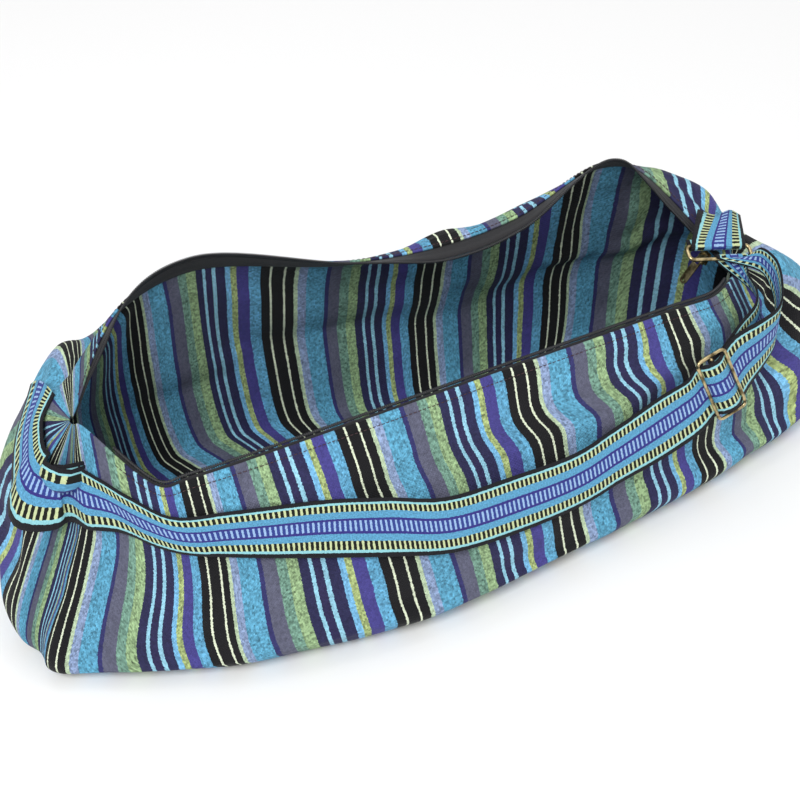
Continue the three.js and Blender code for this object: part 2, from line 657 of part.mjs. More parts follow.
// Tab: from the cloth behind the mouth end, round the back bar of the ring, and a little way back.
const TAB_STEPS = 5; // along the part that lies on the cloth
const TAB_SEWN = { upper: [12.35, 0.3, TAB_LIFT], lower: [11.1, 0.98, TAB_LIFT] };
const TAB_FLAP = 9; // length of the turned-under end
const TAB_TURN = [100, 145, 190, 235, 280]; // degrees round the back bar
const tabRows = [
  clothRow(TAB_SEWN),
  ...TAB_TURN.map((deg) => {
    const a = (deg * Math.PI) / 180;
    return atRing(-ringHalf - Math.cos(a) * ringWrap, Math.sin(a) * ringWrap);
  }),
  atRing(-ringHalf - TAB_FLAP, -ringWrap),
];

// Zip tape along one edge of the mouth, sewn inside the cloth and standing out of it.
function edgeFrame(column) {
  const c = column % COLUMNS;
  const first = sub(inner[c][1], inner[c][0]);
  const down = unit(first);
  const side = cross(down, inwardOf[c][0]);
  return { at: inner[c][0], down, into: unit(cross(side, down)), room: Math.hypot(...first) };
}
// Direction up out of the cloth, evened out over neighbouring columns and never leaning over the edge.
function riseAt(column, columns) {
  let sum = [0, 0, 0];
  for (let k = column - RISE_SPREAD; k <= column + RISE_SPREAD; k++) {
    const kept = Math.min(Math.max(k, columns[0]), columns[columns.length - 1]);
    sum = add(sum, edgeFrame(kept).down, -1);
  }
  const rise = unit(sum);
  const { into } = edgeFrame(column);
  return unit(add(rise, into, Math.max(RISE_LEAN - dot(rise, into), 0)));
}
function tapeRings(columns, show) {
  return columns.map((i) => {
    const { at, down, into, room } = edgeFrame(i);
    const rise = riseAt(i, columns);
    const corner = (along, depth) => add(add(at, down, along), into, depth);
    const far = FIT_GAP + TAPE_THICKNESS;
    return [
      corner(room, FIT_GAP),
      corner(room, far),
      corner(0, far),
      add(corner(0, far), rise, show(i)),
      add(corner(0, FIT_GAP), rise, show(i)),
      corner(0, FIT_GAP),
    ];
  });
}
function coilPath(columns, show) {
  return columns.map((i) => {
    const { at, into } = edgeFrame(i);
    const middle = add(at, into, FIT_GAP + TAPE_THICKNESS / 2);
    return add(middle, riseAt(i, columns), show(i) + COIL_GAP + COIL_WIDTH / 2);
  });
}
// End of a row of teeth at the upper end of the slider, on the side the row comes from.
const coilEnd = (side) => sliderPoint(-SLIDER_LENGTH / 2 - FIT_GAP, (side * (COIL_WIDTH + FIT_GAP)) / 2, 0);
const coilNear = (side) => sliderPoint(-SLIDER_LENGTH / 2 - COIL_LEAD, side * COIL_WIDTH, 0);
// Smooth run from the last tooth on the tape into the slider.
function coilLead(before, last, side) {
  const middle = add(add(last, sub(coilNear(side), last), 0.5), COIL_SLACK);
  const points = [before, last, middle, coilNear(side), coilEnd(side)];
  const knots = [0];
  for (let i = 1; i < points.length; i++) knots.push(knots[i - 1] + gap(points[i], points[i - 1]));
  const share = (k) => knots[1] + ((knots[4] - knots[1]) * k) / COIL_LEAD_STEPS;
  return between(1, COIL_LEAD_STEPS).map((k) => curveAt(points, knots, share(k)));
}
const between = (from, to) => Array.from({ length: to - from + 1 }, (_, k) => from + k);
const frontColumns = between(2, LONG_STEPS - 2);
const backColumns = between(LONG_STEPS + RIGHT_STEPS + 3, 2 * LONG_STEPS + RIGHT_STEPS - 4);
const frontShow = () => TAPE_SHOW_FRONT;
function backShow(column) {
  const share = Math.min((column - backColumns[0]) / TAPE_WIDENING, 1);
  return TAPE_SHOW_END + (TAPE_SHOW_BACK - TAPE_SHOW_END) * share;
}

// Slider: two plates, a post between them and a loop on its face that holds the pull.
const SLIDER_PLACE = [0.471, -0.06, 0.7];
const sliderMiddle = scalePoint(SLIDER_PLACE);
const sliderDown = unit([-0.35, 0, -0.94]);
const sliderSide = [0, 1, 0];
const sliderFace = cross(sliderDown, sliderSide).map((v) => -v);
const sliderAxes = [sliderDown, sliderSide, sliderFace];
const sliderPoint = (down, side, face) =>
  add(add(add(sliderMiddle, sliderDown, down), sliderSide, side), sliderFace, face);
const BRIDGE_REACH = 0.8; // length of the loop, share of the slider
const POST_LENGTH = 0.4; // post between the plates, share of the slider's length
const POST_WIDTH = 0.3; // and of its width
const bridgeSpan = SLIDER_LENGTH * BRIDGE_REACH;
const bridgeTop = SLIDER_HEIGHT / 2 + BRIDGE_HEIGHT + BRIDGE_BAR / 2;
function sliderBody(material) {
  const part = (at, size) => solidOf(box(sliderPoint(...at), sliderAxes, size));
  const plateAt = (SLIDER_HEIGHT - SLIDER_PLATE) / 2;
  let solid = part([0, 0, plateAt], [SLIDER_LENGTH, SLIDER_WIDTH, SLIDER_PLATE]);
  solid = solid.add(part([0, 0, -plateAt], [SLIDER_LENGTH, SLIDER_WIDTH, SLIDER_PLATE]));
  const post = [SLIDER_LENGTH * POST_LENGTH, SLIDER_WIDTH * POST_WIDTH, SLIDER_HEIGHT];
  solid = solid.add(part([0, 0, 0], post));
  const legHeight = BRIDGE_HEIGHT + BRIDGE_BAR;
  for (const end of [-1, 1]) {
    const at = (end * (bridgeSpan - BRIDGE_BAR)) / 2;
    const middle = bridgeTop + BRIDGE_BAR / 2 - legHeight / 2;
    solid = solid.add(part([at, 0, middle], [BRIDGE_BAR, BRIDGE_BAR, legHeight]));
  }
  solid = solid.add(part([0, 0, bridgeTop], [bridgeSpan, BRIDGE_BAR, BRIDGE_BAR]));
  return meshFromSolid("zip_slider", solid, material);
}

// Pull: its cross bar lies under the loop of the slider, and its plate hangs down.
const hingeFace = SLIDER_HEIGHT / 2 + BRIDGE_HEIGHT / 2;
const hinge = sliderPoint(PULL_HINGE_DOWN, 0, hingeFace);
const pullTilt = (PULL_REST_ANGLE * Math.PI) / 180;
const pullDown = add(sliderDown.map((v) => v * Math.cos(pullTilt)), sliderFace, Math.sin(pullTilt));
const pullFace = cross(pullDown, sliderSide).map((v) => -v);
function pullBody(material) {
  const axes = [pullDown, sliderSide, pullFace];
  const from = -PULL_THICKNESS / 2;
  const plateMiddle = add(hinge, pullDown, from + PULL_LENGTH / 2);
  const plate = solidOf(box(plateMiddle, axes, [PULL_LENGTH, PULL_WIDTH, PULL_THICKNESS]));
  const eyeFrom = PULL_THICKNESS / 2;
  const eye = box(
    add(hinge, pullDown, eyeFrom + PULL_EYE / 2),
    axes,
    [PULL_EYE, PULL_WIDTH - 2 * PULL_THICKNESS, PULL_THICKNESS * 2],
  );
  return meshFromSolid("zip_pull", plate.subtract(solidOf(eye)), material);
}

const cloth = new THREE.MeshStandardMaterial({ color: 0x3a7f9c, roughness: 0.95, metalness: 0 });
const webbing = new THREE.MeshStandardMaterial({ color: 0x5f9fd0, roughness: 0.9, metalness: 0 });
const tapeCloth = new THREE.MeshStandardMaterial({ color: 0x141416, roughness: 0.9, metalness: 0 });
const brass = new THREE.MeshStandardMaterial({ color: 0x8a7a4e, roughness: 0.4, metalness: 1 });
const coilPlastic = new THREE.MeshStandardMaterial({ color: 0x1a1a1c, roughness: 0.5, metalness: 0 });

const pieceOf = (name, part, material) => meshOf(name, part.points, part.faces, material);
const barMiddle = add(slideMiddle, slideOut, slidePlane);
const barHalf = (BAND_WIDTH + WIRE_SLACK + SLIDE_WIRE) / 2;
const barPath = [-barHalf, barHalf].map((reach) => add(barMiddle, slideAcross, reach));
const slideFrame = wireLoop(barMiddle, slideAcross, slideAlong, SLIDE_SHORT, SLIDE_WIRE);
const slideSolid = solidOf(slideFrame).add(solidOf(wire(barPath, SLIDE_WIRE, false)));
const ringWire = wireLoop(ringMiddle, ringAcross, ringAlong, RING_SHORT, RING_WIRE);
const frontRow = coilPath(frontColumns, frontShow);
const frontCoil = [...frontRow, ...coilLead(...frontRow.slice(-2), -1)];
const backRow = coilPath(backColumns, backShow);
const backCoil = [...coilLead(backRow[1], backRow[0], 1).reverse(), ...backRow];
const coilAlong = (path) => wire(path, COIL_WIDTH, false, COIL_SIDES);

const group = new THREE.Group();
group.name = "yoga_mat_bag";
group.add(bagBody(cloth));
group.add(pieceOf("shoulder_strap", bandOf(strapRows, strapSteps), webbing));
group.add(pieceOf("strap_tab", bandOf(tabRows, [TAB_STEPS]), webbing));
group.add(pieceOf("strap_ring", ringWire, brass));
group.add(meshFromSolid("strap_slide", slideSolid, brass));
group.add(pieceOf("zip_tape_front", loft(tapeRings(frontColumns, frontShow), false, true), tapeCloth));
group.add(pieceOf("zip_tape_back", loft(tapeRings(backColumns, backShow), false, true), tapeCloth));
group.add(pieceOf("zip_coil_front", coilAlong(frontCoil), coilPlastic));
group.add(pieceOf("zip_coil_back", coilAlong(backCoil), coilPlastic));
group.add(sliderBody(brass));
group.add(pullBody(brass));

// The origin is on the table, under the middle of the whole bag.
const bounds = new THREE.Box3().setFromObject(group);
const centre = bounds.getCenter(new THREE.Vector3());
group.children.forEach((mesh) => mesh.geometry.translate(-centre.x, -centre.y, -bounds.min.z));

export default group;
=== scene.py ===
import math

import bmesh
import bpy
from mathutils import Matrix, Vector, noise
from mathutils.bvhtree import BVHTree


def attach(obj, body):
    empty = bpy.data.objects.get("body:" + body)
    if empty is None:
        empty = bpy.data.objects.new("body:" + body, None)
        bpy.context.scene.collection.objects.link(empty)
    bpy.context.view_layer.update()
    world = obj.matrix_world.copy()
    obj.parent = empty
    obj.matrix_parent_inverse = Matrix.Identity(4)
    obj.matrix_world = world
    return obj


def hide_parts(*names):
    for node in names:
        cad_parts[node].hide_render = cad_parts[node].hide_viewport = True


bl_info = {
    "name": "Yoga mat bag",
    "version": (1, 0, 0),
    "blender": (4, 5, 0),
    "location": "3D View > Sidebar > Mat bag",
    "description": "Dresses the packed mat bag: striped cloth, woven strap, zip and brass",
    "category": "Object",
}

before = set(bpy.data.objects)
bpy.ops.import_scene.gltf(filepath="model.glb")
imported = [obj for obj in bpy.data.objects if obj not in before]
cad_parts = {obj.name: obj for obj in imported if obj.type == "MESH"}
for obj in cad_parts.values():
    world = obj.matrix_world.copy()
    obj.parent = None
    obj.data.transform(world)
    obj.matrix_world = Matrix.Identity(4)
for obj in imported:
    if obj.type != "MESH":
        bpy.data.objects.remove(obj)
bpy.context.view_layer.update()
MM = 0.001

# The cloth is drawn in millimetres round the middle of the mouth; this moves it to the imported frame.
ORIGIN_SHIFT = Vector((-12.382, 18.141, 0.0))


def placed(p):
    """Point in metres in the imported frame, from millimetres round the middle of the mouth."""
    return (Vector(p) + ORIGIN_SHIFT) * MM


# Sizes and colours

class ClothSettings(bpy.types.PropertyGroup):
    mouth_span: bpy.props.FloatProperty(
        name="Mouth", description="Straight distance between the two ends of the mouth",
        default=0.56, unit="LENGTH", subtype="DISTANCE")
    depth: bpy.props.FloatProperty(
        name="Depth", description="Front to back across the belly",
        default=0.25, unit="LENGTH", subtype="DISTANCE")
    height: bpy.props.FloatProperty(
        name="Height", description="Table to the top of the back edge",
        default=0.24, unit="LENGTH", subtype="DISTANCE")
    thickness: bpy.props.FloatProperty(
        name="Thickness", description="Thickness of the cloth",
        default=0.002, unit="LENGTH", subtype="DISTANCE")
    repeat: bpy.props.FloatProperty(
        name="Stripe repeat", description="Width of one repeat of the stripes",
        default=0.14, unit="LENGTH", subtype="DISTANCE")
    thread: bpy.props.FloatProperty(
        name="Thread spacing", description="Distance from one thick cotton thread to the next",
        default=0.0013, unit="LENGTH", subtype="DISTANCE")


class BandSettings(bpy.types.PropertyGroup):
    width: bpy.props.FloatProperty(
        name="Width", description="Width of the woven band",
        default=0.05, unit="LENGTH", subtype="DISTANCE")
    thickness: bpy.props.FloatProperty(
        name="Thickness", description="Thickness of the woven band",
        default=0.0016, unit="LENGTH", subtype="DISTANCE")
    rung: bpy.props.FloatProperty(
        name="Rung pitch", description="Distance between two rungs of the woven ladders",
        default=0.0041, unit="LENGTH", subtype="DISTANCE")


class MetalSettings(bpy.types.PropertyGroup):
    bright: bpy.props.FloatVectorProperty(
        name="Worn brass", description="Colour of the rubbed brass",
        size=3, subtype="COLOR", default=(0.62, 0.50, 0.27), min=0, max=1)
    dark: bpy.props.FloatVectorProperty(
        name="Aged brass", description="Colour of the darkened brass",
        size=3, subtype="COLOR", default=(0.16, 0.12, 0.06), min=0, max=1)
    ring_wire: bpy.props.FloatProperty(
        name="Ring wire", description="Diameter of the wire of the ring",
        default=0.0034, unit="LENGTH", subtype="DISTANCE")
    slide_wire: bpy.props.FloatProperty(
        name="Slide wire", description="Diameter of the wire of the slide",
        default=0.003, unit="LENGTH", subtype="DISTANCE")


# Shape of the cloth

# Each row is one section of cloth: its place along the woven stripes, in stripe repeats, then its edge
# at the mouth, its shoulder and its belly. x is a share of the mouth span, y of the depth and z of the
# height.
SECTION_PARTS = ("cloth", "edge", "shoulder", "belly")
FRONT_SECTIONS = [
    (0.2, (-0.5, -0.032, 0.796), (-0.52, -0.23, 0.5), (-0.592, -0.368, 0.1)),
    (0.72, (-0.436, -0.276, 0.703), (-0.444, -0.392, 0.49), (-0.468, -0.496, 0.115)),
    (1.0, (-0.391, -0.296, 0.711), (-0.394, -0.432, 0.49), (-0.406, -0.545, 0.13)),
    (2.0, (-0.17, -0.308, 0.732), (-0.157, -0.496, 0.492), (-0.145, -0.648, 0.175)),
    (3.0, (0.088, -0.292, 0.732), (0.107, -0.464, 0.492), (0.125, -0.616, 0.175)),
    (4.0, (0.346, -0.28, 0.732), (0.371, -0.41, 0.492), (0.396, -0.536, 0.167)),
    (4.4, (0.432, -0.264, 0.72), (0.461, -0.39, 0.483), (0.489, -0.49, 0.158)),
    (4.75, (0.5, -0.16, 0.692), (0.536, -0.34, 0.467), (0.575, -0.45, 0.158)),
]
RIGHT_END_SECTIONS = [
    (4.9, (0.506, -0.152, 0.692), (0.571, -0.33, 0.508), (0.636, -0.39, 0.2)),
    (5.05, (0.509, -0.14, 0.692), (0.604, -0.28, 0.575), (0.686, -0.26, 0.292)),
    (5.25, (0.509, -0.124, 0.692), (0.61, -0.15, 0.66), (0.704, -0.04, 0.354)),
    (5.0, (0.506, -0.112, 0.696), (0.562, 0.02, 0.74), (0.646, 0.18, 0.383)),
]
BACK_SECTIONS = [
    (4.75, (0.498, -0.096, 0.708), (0.535, 0.15, 0.82), (0.589, 0.352, 0.396)),
    (4.4, (0.436, 0.232, 0.897), (0.456, 0.35, 0.85), (0.468, 0.448, 0.396)),
    (4.15, (0.379, 0.304, 0.938), (0.382, 0.408, 0.775), (0.393, 0.456, 0.383)),
    (3.5, (0.211, 0.24, 0.862), (0.214, 0.336, 0.84), (0.221, 0.448, 0.396)),
    (3.0, (0.093, 0.236, 0.838), (0.096, 0.32, 0.845), (0.1, 0.456, 0.396)),
    (2.4, (-0.05, 0.292, 0.835), (-0.046, 0.4, 0.717), (-0.043, 0.472, 0.375)),
    (1.5, (-0.271, 0.432, 0.897), (-0.268, 0.496, 0.708), (-0.268, 0.512, 0.383)),
    (1.0, (-0.375, 0.412, 0.843), (-0.37, 0.47, 0.75), (-0.371, 0.5, 0.383)),
    (0.72, (-0.425, 0.336, 0.793), (-0.412, 0.43, 0.765), (-0.411, 0.49, 0.375)),
    (0.2, (-0.5, 0.032, 0.8), (-0.452, 0.39, 0.77), (-0.468, 0.48, 0.375)),
]
LEFT_END_SECTIONS = [
    (-1.9, (-0.507, 0.024, 0.8), (-0.492, 0.37, 0.8), (-0.516, 0.47, 0.375)),
    (-1.6, (-0.511, 0.012, 0.796), (-0.559, 0.2, 0.735), (-0.608, 0.31, 0.354)),
    (-1.3, (-0.513, 0, 0.796), (-0.584, 0.02, 0.645), (-0.648, 0.04, 0.29)),
    (-0.95, (-0.511, -0.012, 0.796), (-0.58, -0.1, 0.58), (-0.66, -0.17, 0.14)),
    (-0.5, (-0.509, -0.018, 0.796), (-0.543, -0.12, 0.55), (-0.642, -0.23, 0.085)),
    (-0.05, (-0.507, -0.024, 0.796), (-0.545, -0.17, 0.55), (-0.636, -0.3, 0.07)),
]
FOOT_INSET = 20.0
BASE_INSET = 62.0
SPINE_SHARE = 0.86
SPINE_SET_BACK = -0.06

# Columns of the cloth: along the front, round the right end, along the back, round the left end.
COLUMNS_LONG = 72
COLUMNS_RIGHT = 24
COLUMNS_LEFT = 34
# Steps down one section between its named levels: edge, shoulder, belly, foot, base, middle of the base.
LEVEL_STEPS = (14, 14, 8, 4, 4)

# Creases pressed into the cloth: start and end, each as place along the sections and level down them,
# then the width as a share of the mouth span and the depth as a share of the height.
FOLDS = [
    ((3.55, 0.25), (3.75, 1.25), 0.035, 0.016),
    ((4.05, 0.25), (4.2, 1.3), 0.035, 0.02),
    ((4.55, 0.3), (4.75, 1.1), 0.03, 0.018),
    ((4.1, 1.85), (5.3, 1.75), 0.03, 0.022),
    ((6.1, 1.7), (7.2, 1.1), 0.035, 0.02),
    ((8.2, 0.5), (8.6, 1.9), 0.04, 0.02),
    ((0.35, 0.9), (0.9, 1.7), 0.04, 0.018),
    ((1.6, 1.0), (1.9, 1.9), 0.035, 0.012),
    ((2.6, 1.3), (2.7, 2.0), 0.035, 0.012),
    ((15.5, 1.0), (15.9, 2.0), 0.05, 0.02),
    ((18.4, 0.9), (18.2, 1.9), 0.05, 0.02),
    ((22.6, 0.7), (22.4, 1.9), 0.04, 0.025),
    ((4.3, 0.35), (4.8, 0.45), 0.014, 0.012),
    ((4.4, 0.62), (5.0, 0.7), 0.012, 0.012),
    ((5.2, 0.3), (5.7, 0.55), 0.012, 0.012),
    ((5.0, 1.95), (6.0, 1.8), 0.012, 0.016),
    ((7.0, 1.3), (8.4, 1.75), 0.014, 0.016),
    ((8.6, 0.9), (9.4, 1.3), 0.016, 0.014),
    ((10.4, 0.6), (10.9, 1.7), 0.022, 0.02),
    ((-2.2, 1.0), (-1.6, 2.0), 0.018, 0.016),
]
# Sideways sway of the threads where the cloth is pushed together: place and level of the middle,
# reach in places and levels, and the sway as a share of a stripe repeat.
SWAYS = [
    ((4.2, 0.55), (0.9, 0.32), 0.05),
    ((4.5, 0.95), (0.9, 0.25), -0.05),
    ((5.6, 0.5), (0.6, 0.25), -0.05),
    ((5.8, 1.75), (0.8, 0.25), 0.06),
    ((7.6, 1.6), (0.9, 0.3), -0.06),
    ((1.2, 1.7), (0.9, 0.3), 0.03),
]


def curve_at(points, knots, t):
    """Smooth curve through points; the knots rise and may be unevenly spaced."""
    i = 0
    while i < len(knots) - 2 and t > knots[i + 1]:
        i += 1

    def slope(k):
        a, b = max(k - 1, 0), min(k + 1, len(points) - 1)
        if a == k or b == k:
            return (points[b] - points[a]) / (knots[b] - knots[a])
        before = (points[k] - points[a]) / (knots[k] - knots[a])
        after = (points[b] - points[k]) / (knots[b] - knots[k])
        near = (knots[b] - knots[k]) / (knots[b] - knots[a])
        return before * near + after * (1 - near)

    h = knots[i + 1] - knots[i]
    s = (t - knots[i]) / h
    s2, s3 = s * s, s * s * s
    return (points[i] * (2 * s3 - 3 * s2 + 1) + slope(i) * h * (s3 - 2 * s2 + s)
            + points[i + 1] * (3 * s2 - 2 * s3) + slope(i + 1) * h * (s3 - s2))


def rising_knots(points):
    knots = [0.0]
    for a, b in zip(points, points[1:]):
        knots.append(knots[-1] + math.sqrt((b - a).length + 0.01))
    return knots


class ClothShape:
    """The bag's cloth as a loop of sections; lengths in millimetres."""

    WRAP = 3

    def __init__(self, settings):
        self.size = (settings.mouth_span / MM, settings.depth / MM, settings.height / MM)
        sections = (*FRONT_SECTIONS, *RIGHT_END_SECTIONS, *BACK_SECTIONS, *LEFT_END_SECTIONS)
        self.rows = [dict(zip(SECTION_PARTS, row)) for row in sections]
        self.front_end = len(FRONT_SECTIONS) - 1
        self.back_start = self.front_end + len(RIGHT_END_SECTIONS) + 1
        self.back_end = self.back_start + len(BACK_SECTIONS) - 1
        n = self.WRAP
        looped = [*self.rows[-n:], *self.rows, *self.rows[:n]]
        self.tables = {key: [self.scaled(r[key]) for r in looped] for key in SECTION_PARTS[1:]}
        belly = self.tables["belly"]
        self.knots = [0.0]
        for a, b in zip(belly, belly[1:]):
            self.knots.append(self.knots[-1] + math.sqrt((b - a).length))
        self.folds = [dict(a=self.point(*start), b=self.point(*end), width=width * self.size[0],
                           depth=depth * self.size[2]) for start, end, width, depth in FOLDS]

    def scaled(self, shares):
        return Vector([share * size for share, size in zip(shares, self.size)])

    def section(self, place):
        p = place + self.WRAP
        i = min(int(p), len(self.knots) - 2)
        t = self.knots[i] + (self.knots[i + 1] - self.knots[i]) * (p - i)
        return [curve_at(self.tables[key], self.knots, t) for key in SECTION_PARTS[1:]]

    def along_share(self, place):
        """How far along the middle line of the base a section ends, from 0 at the left to 1."""
        if place <= self.front_end:
            return max(place, 0) / self.front_end
        if place < self.back_start:
            return 1.0
        if place <= self.back_end:
            return 1 - (place - self.back_start) / (self.back_end - self.back_start)
        return 0.0

    def profile(self, place):
        wrapped = place % len(self.rows)
        edge, shoulder, belly = self.section(wrapped)
        x = (self.along_share(wrapped) - 0.5) * self.size[0] * SPINE_SHARE
        spine = Vector((x, SPINE_SET_BACK * self.size[1], 0))
        inward = Vector((spine.x - belly.x, spine.y - belly.y, 0)).normalized()
        low = Vector((belly.x, belly.y, 0))
        points = [edge, shoulder, belly, low + inward * FOOT_INSET, low + inward * BASE_INSET]
        knots = [0.0]
        for a, b in zip(points, points[1:]):
            knots.append(knots[-1] + math.sqrt((b - a).length))
        return points, knots, spine

    def level(self, profile, level):
        points, knots, spine = profile
        if level >= len(points) - 1:
            return points[-1].lerp(spine, min(level - len(points) + 1, 1))
        i = int(level)
        p = curve_at(points, knots, knots[i] + (knots[i + 1] - knots[i]) * (level - i))
        return Vector((p.x, p.y, max(p.z, 0)))

    def point(self, place, level, lift=0.0):
        step = 0.05
        here = self.profile(place)
        p = self.level(here, level)
        if not lift:
            return p
        side = self.level(self.profile(place + step), level) - self.level(self.profile(place - step), level)
        down = self.level(here, level + step) - self.level(here, max(level - step, 0))
        return p + down.cross(side).normalized() * lift

    def pressed(self, p):
        """Depth that the creases press a point in by."""
        depth = 0.0
        for f in self.folds:
            ab, ap = f["b"] - f["a"], p - f["a"]
            t = min(max(ap.dot(ab) / ab.length_squared, 0), 1)
            d = (p - f["a"] - ab * t).length / f["width"]
            if d < 3:
                depth += f["depth"] * math.exp(-d * d)
        return depth

    def cloth(self, place, after):
        """Place along the stripes. after picks the side of the lap at the left end of the back."""
        n = len(self.rows)
        place = place % n
        lap = self.back_end + 0.45
        if self.back_end < place < self.back_end + 1:
            if place < lap or (place == lap and not after):
                return self.rows[self.back_end]["cloth"] - (place - self.back_end) * 0.45
            return self.rows[self.back_end + 1]["cloth"] - (self.back_end + 1 - place) * 0.3
        i = int(place)
        a, b = self.rows[i]["cloth"], self.rows[(i + 1) % n]["cloth"]
        return a + (b - a) * (place - i)

    def sway(self, place, level):
        total = 0.0
        for at, reach, most in SWAYS:
            dx = (place - at[0]) / reach[0]
            dy = (level - at[1]) / reach[1]
            total += most * math.exp(-dx * dx - dy * dy)
        return total


def column_places(shape):
    """Places of the columns in loop order; the lap of the left end falls on a column."""
    f, r = shape.front_end, len(RIGHT_END_SECTIONS) + 1
    b, l = len(BACK_SECTIONS) - 1, len(LEFT_END_SECTIONS) + 1
    places = []
    for start, span, steps in ((0, f, COLUMNS_LONG), (f, r, COLUMNS_RIGHT),
                               (f + r, b, COLUMNS_LONG), (f + r + b, l, COLUMNS_LEFT)):
        places += [start + span * k / steps for k in range(steps)]
    lap = shape.back_end + 0.45
    near = min(range(len(places)), key=lambda i: abs(places[i] - lap))
    places[near] = lap
    return places


def level_list():
    levels = []
    for level, steps in enumerate(LEVEL_STEPS):
        levels += [level + k / steps for k in range(steps)]
    return levels + [float(len(LEVEL_STEPS))]


# Small builders

UV_NAME = "Threads"


def mesh_object(name, vertices, faces, uvs=None):
    """Object from points in metres; uvs hold one pair for each corner of each face."""
    mesh = bpy.data.meshes.new(name)
    mesh.from_pydata([tuple(v) for v in vertices], [], faces)
    if uvs:
        layer = mesh.uv_layers.new(name=UV_NAME)
        flat = [value for face in uvs for pair in face for value in pair]
        layer.data.foreach_set("uv", flat)
    mesh.update()
    mesh.polygons.foreach_set("use_smooth", [True] * len(mesh.polygons))
    piece = bpy.data.objects.new(name, mesh)
    bpy.context.scene.collection.objects.link(piece)
    return piece


def even_normals(piece, merge=0.0):
    """Turns every face outwards, after joining points that lie closer than merge, in metres."""
    b = bmesh.new()
    b.from_mesh(piece.data)
    if merge:
        bmesh.ops.remove_doubles(b, verts=b.verts, dist=merge)
    bmesh.ops.recalc_face_normals(b, faces=b.faces)
    b.to_mesh(piece.data)
    b.free()


def dress(piece, material, node=None):
    """Gives a piece of the bag its material and slot; node is the solid that it replaces."""
    piece.data.materials.append(material)
    if node:
        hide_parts(node)
    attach(piece, "bag")


def apply_modifiers(piece):
    """Turns the piece's modifiers into its mesh."""
    graph = bpy.context.evaluated_depsgraph_get()
    mesh = bpy.data.meshes.new_from_object(piece.evaluated_get(graph), depsgraph=graph)
    piece.modifiers.clear()
    piece.data = mesh


def linear(code):
    """Linear RGBA from an sRGB hex value such as "3A9CC4"."""
    out = []
    for i in (0, 2, 4):
        c = int(code[i:i + 2], 16) / 255
        out.append(c / 12.92 if c <= 0.04045 else ((c + 0.055) / 1.055) ** 2.4)
    return (*out, 1.0)


def add_node(tree, kind, inputs=None, **settings):
    """Adds a node, sets its properties, and fills or links its inputs."""
    made = tree.nodes.new(kind)
    for key, value in settings.items():
        setattr(made, key, value)
    for socket, value in (inputs or {}).items():
        target = made.inputs[socket]
        if isinstance(value, bpy.types.NodeSocket):
            tree.links.new(value, target)
        else:
            target.default_value = value
    return made


def new_material(name):
    """Empty material with a principled shader joined to its output."""
    material = bpy.data.materials.new(name)
    material.use_nodes = True
    tree = material.node_tree
    tree.nodes.clear()
    shader = add_node(tree, "ShaderNodeBsdfPrincipled")
    add_node(tree, "ShaderNodeOutputMaterial", {"Surface": shader.outputs["BSDF"]})
    return material, tree, shader


def fill_ramp(ramp, stops, interpolation):
    """Puts (position, rgba) stops on a colour ramp."""
    ramp.color_ramp.interpolation = interpolation
    elements = ramp.color_ramp.elements
    while len(elements) > 1:
        elements.remove(elements[-1])
    elements[0].position, elements[0].color = 0.0, stops[0][1]
    for position, colour in stops[1:]:
        elements.new(position).color = colour


def stops_of(rows):
    """Stops of a ramp from rows of width, colour and mottle, with the mottle in the alpha."""
    total = sum(width for width, _, _ in rows)
    position, stops = 0.0, []
    for width, colour, mottle in rows:
        r, g, b, _ = linear(colour)
        stops.append((position / total, (r, g, b, mottle)))
        position += width
    return stops


# Stripes of one repeat from left to right: width in parts of the repeat, colour, and how much the
# yarn's colour varies. The repeat starts in the middle of the black group.
STRIPES = [
    (4.8, "17171A", 0.15),
    (2.0, "DCE6C8", 0.25),
    (7.7, "17171A", 0.15),
    (3.2, "B4CBA6", 0.5),
    (8.0, "7F95BC", 0.75),
    (17.5, "4499BC", 0.8),
    (4.0, "2A2A66", 0.3),
    (12.0, "5A5C72", 0.35),
    (8.5, "6A9482", 0.9),
    (8.5, "8BAA78", 0.9),
    (7.7, "26264F", 0.35),
    (3.0, "86C6DE", 0.4),
    (6.7, "28244F", 0.35),
    (3.5, "86C6DE", 0.4),
    (8.6, "26264F", 0.35),
    (5.0, "62AEDA", 0.6),
    (5.2, "9DB06C", 0.9),
    (10.7, "3B3588", 0.3),
    (9.8, "4A9CC4", 0.8),
    (7.7, "17171A", 0.15),
    (2.0, "DCE6C8", 0.25),
    (4.8, "17171A", 0.15),
]

# Bands across the strap from its upper edge: width in millimetres, the ground colour and the
# colour of the rungs, which is the ground's own where the band has no rungs, then the mottle.
BANDS = [
    (3.0, "14141A", "14141A", 0.2),
    (2.0, "8FCCD4", "8FCCD4", 0.2),
    (6.5, "10130F", "C6D2A0", 0.2),
    (6.5, "5A9CC2", "5A9CC2", 0.6),
    (2.2, "34307E", "34307E", 0.2),
    (9.4, "31418C", "98B8E0", 0.3),
    (2.2, "34307E", "34307E", 0.2),
    (5.7, "5A9CC2", "5A9CC2", 0.6),
    (7.0, "10130F", "C6D2A0", 0.2),
    (2.0, "8FCCD4", "8FCCD4", 0.2),
    (3.5, "14141A", "14141A", 0.2),
]


def math_node(tree, operation, a, b=0.0):
    return add_node(tree, "ShaderNodeMath", {0: a, 1: b}, operation=operation).outputs[0]


def times(tree, a, b):
    return math_node(tree, "MULTIPLY", a, b)


def plus(tree, a, b):
    return math_node(tree, "ADD", a, b)


def ribs_of(tree, length, turns):
    """Sine wave along a length, in radians for each unit of it."""
    return math_node(tree, "SINE", times(tree, length, turns))


def centred(tree, value, middle=0.5):
    return math_node(tree, "SUBTRACT", value, middle)


def noise_of(tree, vector, scale, detail):
    settings = {"Vector": vector, "Scale": scale, "Detail": detail}
    return add_node(tree, "ShaderNodeTexNoise", settings).outputs[0]


